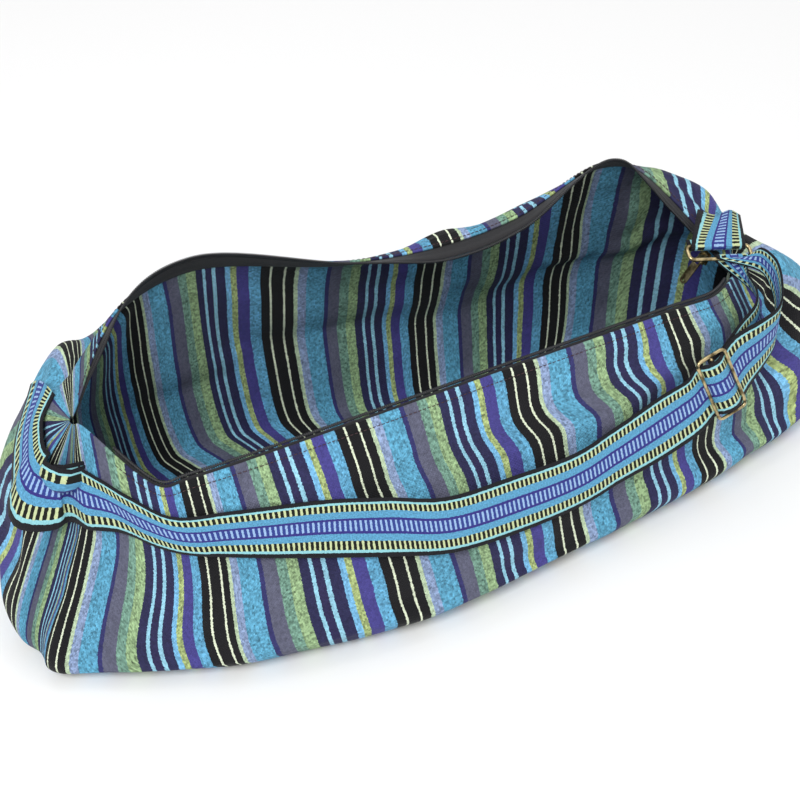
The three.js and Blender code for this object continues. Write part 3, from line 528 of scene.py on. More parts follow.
def pair_of(tree, x, y):
    return add_node(tree, "ShaderNodeCombineXYZ", {"X": x, "Y": y}).outputs[0]


def thread_lengths(tree):
    """The UV map, and its u and v by themselves."""
    uv = add_node(tree, "ShaderNodeUVMap", uv_map=UV_NAME).outputs["UV"]
    parts = add_node(tree, "ShaderNodeSeparateXYZ", {0: uv})
    return uv, parts.outputs["X"], parts.outputs["Y"]


def ramp_of(tree, factor, stops, interpolation="LINEAR"):
    ramp = add_node(tree, "ShaderNodeValToRGB", {"Fac": factor})
    fill_ramp(ramp, stops, interpolation)
    return ramp


def raised(tree, shader, height, strength, distance):
    """Gives the shader relief; distance is in metres."""
    bump = add_node(tree, "ShaderNodeBump", {"Height": height, "Strength": strength, "Distance": distance})
    tree.links.new(bump.outputs[0], shader.inputs["Normal"])


def finished(tree, shader, colour, **inputs):
    """Links the colour and fills or links the other inputs, named with underscores for spaces."""
    tree.links.new(colour, shader.inputs["Base Color"])
    for key, value in inputs.items():
        target = shader.inputs[key.replace("_", " ")]
        if isinstance(value, bpy.types.NodeSocket):
            tree.links.new(value, target)
        else:
            target.default_value = value


# Materials

COTTON_RAG = 0.016
FLECKS_PER_WEFT = 0.7
PICK = 0.0012
WEBBING_RIB = 0.0014
RUNG_SHARE = 0.42
TAPE_RIB = 0.0012
TAPE_FOLD = 0.003


def woven_cotton(settings):
    """Thick hand-loomed cotton, woven plain: matt, mottled yarn, soft ribs, ragged stripe edges."""
    material, tree, shader = new_material("hand-loomed cotton, woven")
    _, across, down = thread_lengths(tree)
    # Thread numbers: across in repeats becomes warp threads, down in metres becomes weft threads.
    warp = times(tree, across, settings.repeat / settings.thread)
    weft = times(tree, down, 1 / settings.thread)
    threads = pair_of(tree, warp, weft)

    # Each weft pulls the stripe edge a little to one side.
    rag = noise_of(tree, threads, scale=0.75, detail=3.0)
    shift = times(tree, centred(tree, rag), COTTON_RAG)
    phase = math_node(tree, "FRACT", plus(tree, across, shift))
    stripes = ramp_of(tree, phase, stops_of(STRIPES), "CONSTANT")

    # Mottled yarn: each fleck is one warp thread wide and some weft threads long.
    cell = pair_of(tree, math_node(tree, "FLOOR", warp),
                   math_node(tree, "FLOOR", times(tree, weft, FLECKS_PER_WEFT)))
    fleck = add_node(tree, "ShaderNodeTexWhiteNoise", {"Vector": cell}, noise_dimensions="2D")
    cloud = noise_of(tree, threads, scale=0.42, detail=3.0)
    slub = noise_of(tree, threads, scale=0.07, detail=2.0)
    swing = plus(tree, times(tree, fleck.outputs["Value"], 0.75), times(tree, cloud, 1.5))
    strength = times(tree, centred(tree, swing, 1.125), stripes.outputs["Alpha"])
    light = plus(tree, times(tree, strength, 1.15), 1.0)
    broad = plus(tree, times(tree, slub, 0.5), 0.75)
    value = times(tree, light, broad)
    colour = add_node(tree, "ShaderNodeHueSaturation",
                      {"Color": stripes.outputs["Color"], "Value": value, "Saturation": 0.9}).outputs[0]

    # Plain weave: each thread passes over and under its neighbours.
    weave = times(tree, ribs_of(tree, warp, math.pi), ribs_of(tree, weft, math.pi))
    fuzz = times(tree, cloud, 1.4)
    height = plus(tree, times(tree, weave, 0.5), fuzz)
    raised(tree, shader, height, strength=0.6, distance=0.0007)
    finished(tree, shader, colour, Roughness=0.92, IOR=1.5, Sheen_Weight=0.04, Sheen_Roughness=0.5,
             Specular_IOR_Level=0.25)
    return material


def figured_webbing(settings):
    """Cotton and rayon band, figure-woven: smooth tight weft ribs with raised pale rungs."""
    material, tree, shader = new_material("cotton webbing, figure-woven")
    _, along, across = thread_lengths(tree)
    pick = pair_of(tree, times(tree, along, 1 / PICK), times(tree, across, settings.width / PICK))
    swing = centred(tree, noise_of(tree, pick, scale=0.6, detail=1.0))
    place = plus(tree, across, times(tree, swing, 0.02))
    ground, rung = (ramp_of(tree, place, stops_of([(row[0], row[part], row[3]) for row in BANDS]), "CONSTANT")
                    for part in (1, 2))
    turns = times(tree, along, 1 / settings.rung)
    jitter = plus(tree, turns, times(tree, swing, 0.25))
    on = math_node(tree, "LESS_THAN", math_node(tree, "FRACT", jitter), RUNG_SHARE)
    mixed = add_node(tree, "ShaderNodeMix", {0: on, 6: ground.outputs["Color"], 7: rung.outputs["Color"]},
                     data_type="RGBA")
    fleck = noise_of(tree, pick, scale=0.9, detail=2.0)
    strength = times(tree, centred(tree, fleck), ground.outputs["Alpha"])
    value = plus(tree, times(tree, strength, 2.6), 1.0)
    colour = add_node(tree, "ShaderNodeHueSaturation", {"Color": mixed.outputs[2], "Value": value}).outputs[0]
    ribs = ribs_of(tree, along, 2 * math.pi / WEBBING_RIB)
    height = plus(tree, times(tree, ribs, 0.4), plus(tree, times(tree, on, 0.8), fleck))
    raised(tree, shader, height, strength=0.5, distance=0.0005)
    finished(tree, shader, colour, Roughness=0.8, Sheen_Weight=0.03, Specular_IOR_Level=0.3)
    return material


def zip_tape_polyester():
    """Black polyester zip tape, herringbone-woven: near black, fine slanted ribs."""
    material, tree, shader = new_material("polyester zip tape, herringbone")
    uv, along, across = thread_lengths(tree)
    slant = plus(tree, along, math_node(tree, "PINGPONG", across, TAPE_FOLD))
    ribs = ribs_of(tree, slant, 2 * math.pi / TAPE_RIB)
    speck = noise_of(tree, uv, scale=900.0, detail=2.0)
    shade = plus(tree, times(tree, ribs, 0.2), speck)
    ramp = ramp_of(tree, shade, [(0.0, linear("0E0E10")), (1.0, linear("2C2C30"))])
    raised(tree, shader, ribs, strength=0.4, distance=0.0003)
    finished(tree, shader, ramp.outputs["Color"], Roughness=0.75, Sheen_Weight=0.1)
    return material


def coil_nylon():
    """Black nylon, extruded into a coil: smooth, half gloss, a little dusty between the turns."""
    material, tree, shader = new_material("nylon coil, extruded")
    place = add_node(tree, "ShaderNodeTexCoord").outputs["Object"]
    dust = noise_of(tree, place, scale=350.0, detail=2.0)
    ramp = ramp_of(tree, dust, [(0.0, linear("121214")), (1.0, linear("303034"))])
    rough = plus(tree, times(tree, dust, 0.25), 0.28)
    finished(tree, shader, ramp.outputs["Color"], Roughness=rough, IOR=1.53)
    return material


def aged_brass(settings):
    """Cast and drawn brass, antiqued: dark film with the yellow metal rubbed bright in patches."""
    material, tree, shader = new_material("antiqued brass, drawn")
    place = add_node(tree, "ShaderNodeTexCoord").outputs["Object"]
    film = noise_of(tree, place, scale=130.0, detail=4.0)
    fine = noise_of(tree, place, scale=1400.0, detail=2.0)
    dark, bright = (*settings.dark, 1.0), (*settings.bright, 1.0)
    ramp = ramp_of(tree, film, [(0.0, dark), (0.38, dark), (0.56, bright)])
    rough = plus(tree, times(tree, fine, 0.25), 0.2)
    raised(tree, shader, fine, strength=0.15, distance=0.0002)
    finished(tree, shader, ramp.outputs["Color"], Roughness=rough, Metallic=1.0)
    return material


def sewing_thread(code):
    """Polyester sewing thread, twisted: small bright plies across the thread."""
    material, tree, shader = new_material("polyester thread, twisted")
    place = add_node(tree, "ShaderNodeTexCoord").outputs["Object"]
    ply = noise_of(tree, place, scale=2500.0, detail=1.0)
    r, g, b, _ = linear(code)
    ramp = ramp_of(tree, ply, [(0.0, (r * 0.5, g * 0.5, b * 0.5, 1)), (1.0, (r, g, b, 1))])
    finished(tree, shader, ramp.outputs["Color"], Roughness=0.55)
    return material


# The cloth

RIPPLE_DEPTH, FINE_DEPTH = 3.2, 1.1
RIPPLE_LENGTHS, FINE_LENGTHS = (46, 46, 60), (17, 17, 24)
FINE_SHIFT = 9


def cloth_grid(shape):
    """Points of the outside of the cloth in millimetres, its places and its levels."""
    places, levels = column_places(shape), level_list()
    smooth = []
    for place in places:
        profile = shape.profile(place)
        smooth.append([shape.level(profile, level) for level in levels])
    count, last = len(places), len(levels) - 1
    grid = []
    for i, column in enumerate(smooth):
        moved = []
        for j, p in enumerate(column):
            if p.z < 2.0:
                moved.append(p)
                continue
            up, below = column[max(j - 1, 0)], column[min(j + 1, last)]
            inward = (up - below).cross(smooth[(i + 1) % count][j] - smooth[i - 1][j]).normalized()
            # Slack ripples of the cloth, longer down the stripes than across them.
            rx, ry, rz = (a / length for a, length in zip(p, RIPPLE_LENGTHS))
            fx, fy, fz = (a / length for a, length in zip(p, FINE_LENGTHS))
            ripple = noise.noise(Vector((rx, ry, rz)))
            fine = noise.noise(Vector((fx + FINE_SHIFT, fy, fz)))
            free = min(max(levels[j] - 0.08, 0) / 0.35, 1) * min(max((p.z - 2) / 20, 0), 1)
            moved.append(p + inward * (shape.pressed(p) + ripple * RIPPLE_DEPTH + fine * FINE_DEPTH) * free)
        grid.append(moved)
    return grid, places, levels


def cloth_mesh(shape):
    grid, places, levels = cloth_grid(shape)
    count, rows = len(places), len(levels)
    vertices = [placed(p) for column in grid for p in column]
    lengths = []
    for column in grid:
        down = [0.0]
        for a, b in zip(column, column[1:]):
            down.append(down[-1] + (b - a).length * MM)
        lengths.append(down)
    faces, uvs = [], []
    for i in range(count):
        n = (i + 1) % count
        left, right = places[i], places[n] if n else len(shape.rows) - 1e-6
        for j in range(rows - 1):
            faces.append((i * rows + j, i * rows + j + 1, n * rows + j + 1, n * rows + j))
            upper, lower = shape.sway(left, levels[j]), shape.sway(left, levels[j + 1])
            upper_r, lower_r = shape.sway(right, levels[j]), shape.sway(right, levels[j + 1])
            a, b = shape.cloth(left, True), shape.cloth(right, False)
            uvs.append([(a + upper, lengths[i][j]), (a + lower, lengths[i][j + 1]),
                        (b + lower_r, lengths[n][j + 1]), (b + upper_r, lengths[n][j])])
    return vertices, faces, uvs


# Where the cloth has room to wrinkle: place and level of the middle, reach in places and levels, and
# how much spare cloth there is.
SLACK = [
    ((5.2, 0.9), (2.2, 0.9), 1.0),
    ((7.5, 1.5), (1.8, 0.9), 0.9),
    ((0.6, 1.2), (1.2, 0.7), 0.7),
    ((24.5, 1.2), (2.0, 0.8), 0.9),
    ((11.0, 1.2), (1.6, 0.7), 0.7),
    ((21.5, 1.3), (1.5, 0.7), 0.7),
]
HELD_SHAPE = 0.09
SLACK_FRAMES = 24
SLACK_CAP = 0.012
SLACK_LEAST = 0.25
MERGE_REACH = 0.00005
SLACK_GRAVITY = 0.15
CLOTH_STUFF = dict(
    vertex_group_mass="held", pin_stiffness=1.0, quality=6, mass=0.4, tension_stiffness=20,
    compression_stiffness=20, shear_stiffness=10, bending_stiffness=0.25, vertex_group_shrink="slack",
    shrink_min=0.0, shrink_max=-0.2)


def weigh(piece, shape):
    """Gives each point how firmly it is held in place and how much spare cloth there is round it."""
    held = piece.vertex_groups.new(name="held")
    slack = piece.vertex_groups.new(name="slack")
    places, levels = column_places(shape), level_list()
    loop = len(shape.rows)
    for i, place in enumerate(places):
        for j, level in enumerate(levels):
            rim = min(max((0.6 - level) / 0.4, 0), 1)
            foot = min(max((level - 2.2) / 0.5, 0), 1)
            index = [i * len(levels) + j]
            held.add(index, max(rim, foot, HELD_SHAPE), "REPLACE")
            spare = SLACK_LEAST
            for at, reach, most in SLACK:
                x = ((place - at[0] + loop / 2) % loop - loop / 2) / reach[0]
                y = (level - at[1]) / reach[1]
                spare = max(spare, most * math.exp(-x * x - y * y))
            slack.add(index, spare, "REPLACE")


def slacken(piece):
    """Lets the cloth, cut larger than the shape it is held to, buckle into wrinkles."""
    scene = bpy.context.scene
    start = [v.co.copy() for v in piece.data.vertices]
    modifier = piece.modifiers.new("Slack", "CLOTH")
    for key, value in CLOTH_STUFF.items():
        setattr(modifier.settings, key, value)
    modifier.settings.effector_weights.gravity = SLACK_GRAVITY
    modifier.point_cache.frame_start = 1
    modifier.point_cache.frame_end = SLACK_FRAMES
    for frame_number in range(1, SLACK_FRAMES + 1):
        scene.frame_set(frame_number)
    apply_modifiers(piece)
    scene.frame_set(1)
    for v, before in zip(piece.data.vertices, start):
        moved = v.co - before
        if moved.length > SLACK_CAP:
            v.co = before + moved * (SLACK_CAP / moved.length)
        v.co.z = max(v.co.z, 0.0)
    piece.vertex_groups.clear()


class BAG_OT_cloth(bpy.types.Operator):
    """Builds the soft striped body of the bag."""

    bl_idname = "matbag.cloth"
    bl_label = "Striped cloth"

    def execute(self, context):
        settings = context.scene.matbag_cloth
        shape = ClothShape(settings)
        vertices, faces, uvs = cloth_mesh(shape)
        piece = mesh_object("bag_cloth", vertices, faces, uvs)
        weigh(piece, shape)
        even_normals(piece, merge=MERGE_REACH)
        slacken(piece)
        finer = piece.modifiers.new("Finer", "SUBSURF")
        finer.levels = finer.render_levels = 1
        finer.uv_smooth = "NONE"
        apply_modifiers(piece)
        skin = piece.modifiers.new("Thickness", "SOLIDIFY")
        skin.thickness = settings.thickness
        skin.offset = -1.0
        skin.use_even_offset = False
        piece.data.materials.append(woven_cotton(settings))
        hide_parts("bag_body")
        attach(piece, "bag")
        return {"FINISHED"}


# The strap

# Strap on the cloth: place, level and lift of its upper and of its lower edge.
STRAP_ROWS = [
    ((-5.5, 0.36, 0.5), (-5.3, 1.06, 0.5)),
    ((-4.6, 0.42, 1.5), (-4.4, 1.18, 1.3)),
    ((-3.6, 0.44, 1.5), (-3.4, 1.26, 1.3)),
    ((-2.6, 0.44, 1.5), (-2.4, 1.13, 1.3)),
    ((-1.6, 0.39, 1.5), (-1.4, 1.06, 1.3)),
    ((-0.7, 0.4, 1.5), (-0.5, 1.0, 1.3)),
    ((0.2, 0.38, 1.5), (0.3, 0.86, 1)),
    ((0.55, 0.36, 1), (0.75, 0.86, 1)),
    ((1.15, 0.38, 1), (1.4, 0.92, 1)),
    ((2.2, 0.5, 1), (2.2, 1.06, 1)),
    ((2.75, 0.68, 1), (2.68, 1.25, 1)),
    ((3.05, 0.85, 1), (3.0, 1.4, 1)),
    ((3.35, 1.06, 1), (3.3, 1.55, 1)),
    ((3.75, 1.13, 1), (3.7, 1.63, 1)),
    ((4.15, 1.17, 1), (4.1, 1.65, 1)),
    ((4.4, 1.1, 1), (4.35, 1.6, 1)),
    ((4.7, 0.97, 1), (4.65, 1.54, 1)),
    ((4.92, 0.88, 1), (4.9, 1.45, 1)),
]
SLIDE_ROW = ((5.22, 0.76, 2.2), (5.28, 1.34, 2.2))
# Free part: the upper edge as shares of span, depth and height, the lower as place, level and lift.
LOOP_ROWS = [
    ((0.436, -0.38, 0.63), (5.85, 1.22, 1.7)),
    ((0.482, -0.384, 0.67), (6.3, 1.1, 1.5)),
    ((0.512, -0.372, 0.695), (6.75, 0.98, 1.5)),
    ((0.527, -0.328, 0.735), (7.3, 0.76, 1.7)),
    ((0.532, -0.26, 0.795), (8.05, 0.44, 3.8)),
    ((0.522, -0.2, 0.81), (8.2, 0.16, 4.6)),
]
RETURN_ROWS = [
    ((0.494, -0.236, 0.74), (6.95, 0.32, 1.6)),
    ((0.494, -0.288, 0.72), (6.85, 0.56, 1.1)),
    ((0.482, -0.33, 0.695), (6.6, 0.78, 1.2)),
    ((0.45, -0.356, 0.655), (5.95, 1.0, 1.3)),
]
TAB_SEWN = ((12.35, 0.3, 0.5), (11.1, 0.98, 0.5))
BAND_LIFT = 4.0
BAND_ACROSS = 10
BAND_STEPS = 5
FIT_GAP = 0.4
PASS_GAP = 1.2
RING_SHORT = 17.0
SLIDE_SHORT = 30.0
WIRE_SLACK = 5.0
WIRE_CORNER = 4.0
RING_MIDDLE = (0.474, -0.124, 0.77)
RING_GATHER = -0.1
TAB_FLAP = 9.0


def straight_row(a, b):
    return [a.lerp(b, k / BAND_ACROSS) for k in range(BAND_ACROSS + 1)]


class StrapShape:
    """Rows of points across the strap and the frames of the ring and the slide, in millimetres."""

    def __init__(self, shape, band, metal):
        self.shape = shape
        self.width = band.width / MM
        self.thick = band.thickness / MM
        self.ring_wire = metal.ring_wire / MM
        self.slide_wire = metal.slide_wire / MM
        middle = BAND_ACROSS // 2
        row = self.cloth_row(SLIDE_ROW)
        self.slide_middle = row[middle]
        self.slide_across = (row[-1] - row[0]).normalized()
        before = self.cloth_row(STRAP_ROWS[-1])[middle]
        self.slide_out = self.slide_across.cross(self.slide_middle - before).normalized()
        self.slide_along = self.slide_out.cross(self.slide_across)
        self.ring_middle = shape.scaled(RING_MIDDLE)
        self.ring_across = Vector((1, -0.2, -0.15)).normalized()
        self.ring_out = -self.ring_across.cross(Vector((0.3, -0.9, -0.3))).normalized()
        self.ring_along = -self.ring_out.cross(self.ring_across)
        self.slide_half = (SLIDE_SHORT - self.slide_wire) / 2
        self.ring_half = (RING_SHORT - self.ring_wire) / 2
        self.slide_plane = self.slide_wire / 2 + self.thick / 2 + PASS_GAP

    def cloth_row(self, row):
        upper, lower = Vector(row[0]), Vector(row[1])
        out = []
        for k in range(BAND_ACROSS + 1):
            at = upper.lerp(lower, k / BAND_ACROSS)
            out.append(self.shape.point(at[0], at[1], at[2] * BAND_LIFT))
        return out

    def loose_row(self, row):
        place, level, lift = row[1]
        return straight_row(self.shape.scaled(row[0]), self.shape.point(place, level, lift * BAND_LIFT))

    def wrap(self, wire):
        return wire / 2 + FIT_GAP + self.thick / 2

    def at_slide(self, t, n):
        p = self.slide_middle + self.slide_along * t + self.slide_out * n
        half = self.slide_across * self.width / 2
        return straight_row(p - half, p + half)

    def at_ring(self, t, n, start=-0.5):
        p = self.ring_middle + self.ring_along * t + self.ring_out * n
        return straight_row(p + self.ring_across * self.width * start, p + self.ring_across * self.width / 2)

    def strap_rows(self):
        over = self.slide_plane + self.wrap(self.slide_wire) + self.thick + FIT_GAP
        half = self.slide_half
        slide = [self.at_slide(-half, 0), self.at_slide(-half * 0.45, over * 0.78), self.at_slide(0, over),
                 self.at_slide(half * 0.45, over * 0.78), self.at_slide(half, 0)]
        ring, reach = [], self.wrap(self.ring_wire)
        for degrees in range(60, 286, 45):
            a = math.radians(degrees)
            row = self.at_ring(self.ring_half + math.cos(a) * reach, math.sin(a) * reach, RING_GATHER)
            ring.append(row[::-1])
        tail, reach = [self.at_slide(half * 0.9, -self.thick - PASS_GAP)], self.wrap(self.slide_wire)
        for degrees in range(300, 74, -45):
            a = math.radians(degrees)
            tail.append(self.at_slide(math.cos(a) * reach, self.slide_plane + math.sin(a) * reach))
        return [*map(self.cloth_row, STRAP_ROWS), *slide, *map(self.loose_row, LOOP_ROWS), *ring,
                *map(self.loose_row, RETURN_ROWS), *tail]

    def tab_rows(self):
        reach = self.wrap(self.ring_wire)
        rows = [self.cloth_row(TAB_SEWN)]
        for degrees in range(100, 281, 45):
            a = math.radians(degrees)
            rows.append(self.at_ring(-self.ring_half - math.cos(a) * reach, math.sin(a) * reach))
        return [*rows, self.at_ring(-self.ring_half - TAB_FLAP, -reach)]


def band_grid(rows, steps):
    """Finer rows between the given ones, on a smooth curve."""
    middle = BAND_ACROSS // 2
    knots = rising_knots([row[middle] for row in rows])
    grid = []
    for i in range(len(rows) - 1):
        for k in range(steps):
            t = knots[i] + (knots[i + 1] - knots[i]) * k / steps
            grid.append([curve_at([row[c] for row in rows], knots, t) for c in range(BAND_ACROSS + 1)])
    return [*grid, rows[-1]]


# How the band sinks onto the cloth. The ray's start and reach are in metres, the rest in millimetres.
RAY_START = 0.02
RAY_REACH = 0.06
NO_CLOTH = 3.0
REST_GAP = 0.5
NEAR_ALONG = 4
NEAR_ACROSS = 2
MEAN_SHARE = 0.1
LEAST_SHARE = 0.9
MOST_LIFT = 14.0
MOST_DROP = 9.0
FADE_ROWS = 10


def settled(grid, ground, rows_on_cloth, thick):
    """Lets the part of the band that lies on the cloth sink until it nearly touches."""
    drops = []
    for i, row in enumerate(grid[:rows_on_cloth]):
        line = []
        for k, p in enumerate(row):
            along = grid[i + 1][k] - grid[max(i - 1, 0)][k]
            over = row[min(k + 1, BAND_ACROSS)] - row[max(k - 1, 0)]
            out = -along.cross(over).normalized()
            start = placed(p) + out * RAY_START
            hit = ground.ray_cast(start, -out, RAY_REACH)
            height = ((hit[3] - RAY_START) / MM) if hit[0] else NO_CLOTH
            line.append((height - thick / 2 - REST_GAP, out))
        drops.append(line)
    moved = [list(row) for row in grid]
    for i in range(rows_on_cloth):
        fade = min((rows_on_cloth - 1 - i) / FADE_ROWS, 1.0)
        for k in range(BAND_ACROSS + 1):
            near = [drops[a][b][0]
                    for a in range(max(i - NEAR_ALONG, 0), min(i + NEAR_ALONG + 1, rows_on_cloth))
                    for b in range(max(k - NEAR_ACROSS, 0), min(k + NEAR_ACROSS + 1, BAND_ACROSS + 1))]
            drop = sum(near) / len(near) * MEAN_SHARE + min(near) * LEAST_SHARE
            drop = min(max(drop, -MOST_LIFT), MOST_DROP)
            moved[i][k] = grid[i][k] - drops[i][k][1] * drop * fade
    return moved


def band_mesh(grid, thick):
    """Closed band with rounded edges; u runs along it and v across it."""
    across = len(grid[0]) - 1
    vertices, faces, uvs, distance, run = [], [], [], [], 0.0
    for i, row in enumerate(grid):
        if i:
            run += (row[across // 2] - grid[i - 1][across // 2]).length * MM
        distance.append(run)
        after, before = grid[min(i + 1, len(grid) - 1)], grid[max(i - 1, 0)]
        face = []
        for k in range(across + 1):
            over = row[min(k + 1, across)] - row[max(k - 1, 0)]
            face.append((after[k] - before[k]).cross(over).normalized())
        edge_out = [(row[0] - row[1]).normalized(), (row[-1] - row[-2]).normalized()]
        ring = [(row[k] - face[k] * thick / 2, k / across) for k in range(across + 1)]
        ring.append((row[-1] + edge_out[1] * thick * 0.3, 1.0))
        ring += [(row[k] + face[k] * thick / 2, k / across) for k in range(across, -1, -1)]
        ring.append((row[0] + edge_out[0] * thick * 0.3, 0.0))
        vertices.append(ring)
    n = len(vertices[0])
    points = [placed(p) for ring in vertices for p, _ in ring]
    for i in range(len(grid) - 1):
        for k in range(n):
            m = (k + 1) % n
            faces.append((i * n + k, i * n + m, (i + 1) * n + m, (i + 1) * n + k))
            v0, v1 = vertices[i][k][1], vertices[i][m][1]
            uvs.append([(distance[i], v0), (distance[i], v1), (distance[i + 1], v1), (distance[i + 1], v0)])
    for end in (0, len(grid) - 1):
        base = end * n
        for k in range(across):
            a, b = base + k, base + k + 1
            c, d = base + n - 3 - k, base + n - 2 - k
            faces.append((a, b, c, d) if end else (d, c, b, a))
            corners = [(distance[end], k / across)] * 4
            uvs.append(corners)
        for side in (base + across + 1, base + n - 1):
            neighbours = (side - 1, side, base + (side - base + 1) % n)
            faces.append(neighbours if not end else neighbours[::-1])
            uvs.append([(distance[end], vertices[end][side - base][1])] * 3)
    return points, faces, uvs


def make_band(name, node, grid, thick, material):
    piece = mesh_object(name, *band_mesh(grid, thick))
    even_normals(piece)
    dress(piece, material, node)


class BAG_OT_strap(bpy.types.Operator):
    """Builds the woven shoulder strap and the tab that holds the ring."""

    bl_idname = "matbag.strap"
    bl_label = "Strap and tab"

    def execute(self, context):
        scene = context.scene
        shape = ClothShape(scene.matbag_cloth)
        strap = StrapShape(shape, scene.matbag_band, scene.matbag_metal)
        material = figured_webbing(scene.matbag_band)
        graph = context.evaluated_depsgraph_get()
        cloth = bpy.data.objects.get("bag_cloth")
        if cloth is None:
            raise RuntimeError("the strap needs the cloth it lies on")
        ground = BVHTree.FromObject(cloth, graph)
        grid = band_grid(strap.strap_rows(), BAND_STEPS)
        on_cloth = (len(STRAP_ROWS) - 1) * BAND_STEPS
        grid = settled(grid, ground, on_cloth, strap.thick)
        make_band("strap_webbing", "shoulder_strap", grid, strap.thick, material)
        tab = band_grid(strap.tab_rows(), BAND_STEPS)
        make_band("tab_webbing", "strap_tab", tab, strap.thick, material)
        return {"FINISHED"}


# The brass wire parts

def tube(path, radius, sides=14, closed=True):
    """Round wire along a path of points in millimetres."""
    count = len(path)
    vertices, faces = [], []
    for i, p in enumerate(path):
        after = path[(i + 1) % count] if closed else path[min(i + 1, count - 1)]
        before = path[i - 1] if closed else path[max(i - 1, 0)]
        along = (after - before).normalized()
        side = along.cross(Vector((0, 1, 0)) if abs(along.z) > 0.9 else Vector((0, 0, 1))).normalized()
        up = side.cross(along)
        r = radius(i) if callable(radius) else radius
        for k in range(sides):
            a = 2 * math.pi * k / sides
            vertices.append(placed(p + side * math.cos(a) * r + up * math.sin(a) * r))
    for i in range(count if closed else count - 1):
        n = (i + 1) % count
        for k in range(sides):
            m = (k + 1) % sides
            faces.append((i * sides + k, i * sides + m, n * sides + m, n * sides + k))
    if not closed:
        faces.append(tuple(range(sides))[::-1])
        faces.append(tuple((count - 1) * sides + k for k in range(sides)))
    return vertices, faces


def wire_path(middle, across, along, short, diameter, width):
    """Rounded rectangle on the wire's middle line."""
    long_half = (width + WIRE_SLACK + diameter) / 2 - WIRE_CORNER
    short_half = (short - diameter) / 2 - WIRE_CORNER
    path = []
    for n, (sx, sy) in enumerate(((1, 1), (-1, 1), (-1, -1), (1, -1))):
        for k in range(7):
            a = (n + k / 6) * math.pi / 2
            x = sx * long_half + math.cos(a) * WIRE_CORNER
            y = sy * short_half + math.sin(a) * WIRE_CORNER
            path.append(middle + across * x + along * y)
    fine = []
    for i, p in enumerate(path):
        q = path[(i + 1) % len(path)]
        steps = max(int((q - p).length / 4), 1)
        fine += [p.lerp(q, s / steps) for s in range(steps)]
    return fine


def join_parts(parts):
    vertices, faces = [], []
    for points, polygons in parts:
        base = len(vertices)
        vertices += points
        faces += [tuple(base + k for k in polygon) for polygon in polygons]
    return vertices, faces


# The pull hangs from the loop of the slider; lengths in millimetres.
SLIDER_MIDDLE = (0.471, -0.06, 0.7)
SLIDER_DOWN = Vector((-0.35, 0, -0.94)).normalized()
HINGE_DOWN = 1.2
HINGE_FACE = 4.3
PULL_ANGLE = math.radians(14)
PULL_LENGTH = 27.0
PULL_WIDTH = 8.0
PULL_THICK = 1.6
EYE_LENGTH = 4.6
HOLE_RADIUS = 1.5


def rounded(x0, x1, half, corner, steps=8):
    """Outline of a rounded rectangle from x0 to x1, as wide as twice half."""
    points = []
    corners = ((x1 - corner, half - corner), (x0 + corner, half - corner),
               (x0 + corner, corner - half), (x1 - corner, corner - half))
    for n, (x, y) in enumerate(corners):
        for k in range(steps + 1):
            a = (n + k / steps) * math.pi / 2
            points.append((x + math.cos(a) * corner, y + math.sin(a) * corner))
    return points


def pull_tag(shape):
    """Flat rounded tag with an eye at the top and a round hole near its free end."""
    curve = bpy.data.curves.new("pull_tag", "CURVE")
    curve.dimensions = "2D"
    curve.fill_mode = "BOTH"
    curve.extrude = (PULL_THICK / 2 - 0.3) * MM
    curve.bevel_depth = 0.3 * MM
    curve.bevel_resolution = 2
    inset, edge = 0.3, PULL_THICK / 2
    hole = PULL_LENGTH - edge - 2.6
    outlines = [
        rounded(inset - edge, PULL_LENGTH - edge - inset, PULL_WIDTH / 2 - inset, 3.2),
        rounded(edge - inset, edge + EYE_LENGTH + inset, PULL_WIDTH / 2 - PULL_THICK + inset, 1.2),
        rounded(hole - HOLE_RADIUS, hole + HOLE_RADIUS, HOLE_RADIUS, HOLE_RADIUS),
    ]
    for outline in outlines:
        spline = curve.splines.new("POLY")
        spline.points.add(len(outline) - 1)
        for point, (x, y) in zip(spline.points, outline):
            point.co = (x * MM, y * MM, 0, 1)
        spline.use_cyclic_u = True
    drawn = bpy.data.objects.new("pull_outline", curve)
    bpy.context.scene.collection.objects.link(drawn)
    graph = bpy.context.evaluated_depsgraph_get()
    mesh = bpy.data.meshes.new_from_object(drawn.evaluated_get(graph), depsgraph=graph)
    bpy.data.objects.remove(drawn)
    side = Vector((0, 1, 0))
    out = -SLIDER_DOWN.cross(side)
    hinge = shape.scaled(SLIDER_MIDDLE) + SLIDER_DOWN * HINGE_DOWN + out * HINGE_FACE
    down = SLIDER_DOWN * math.cos(PULL_ANGLE) + out * math.sin(PULL_ANGLE)
    face = -down.cross(side)
    turn = Matrix((down, side, face)).transposed().to_4x4()
    mesh.transform(Matrix.Translation(placed(hinge)) @ turn)
    tag = bpy.data.objects.new("pull_tag", mesh)
    bpy.context.scene.collection.objects.link(tag)
    return tag


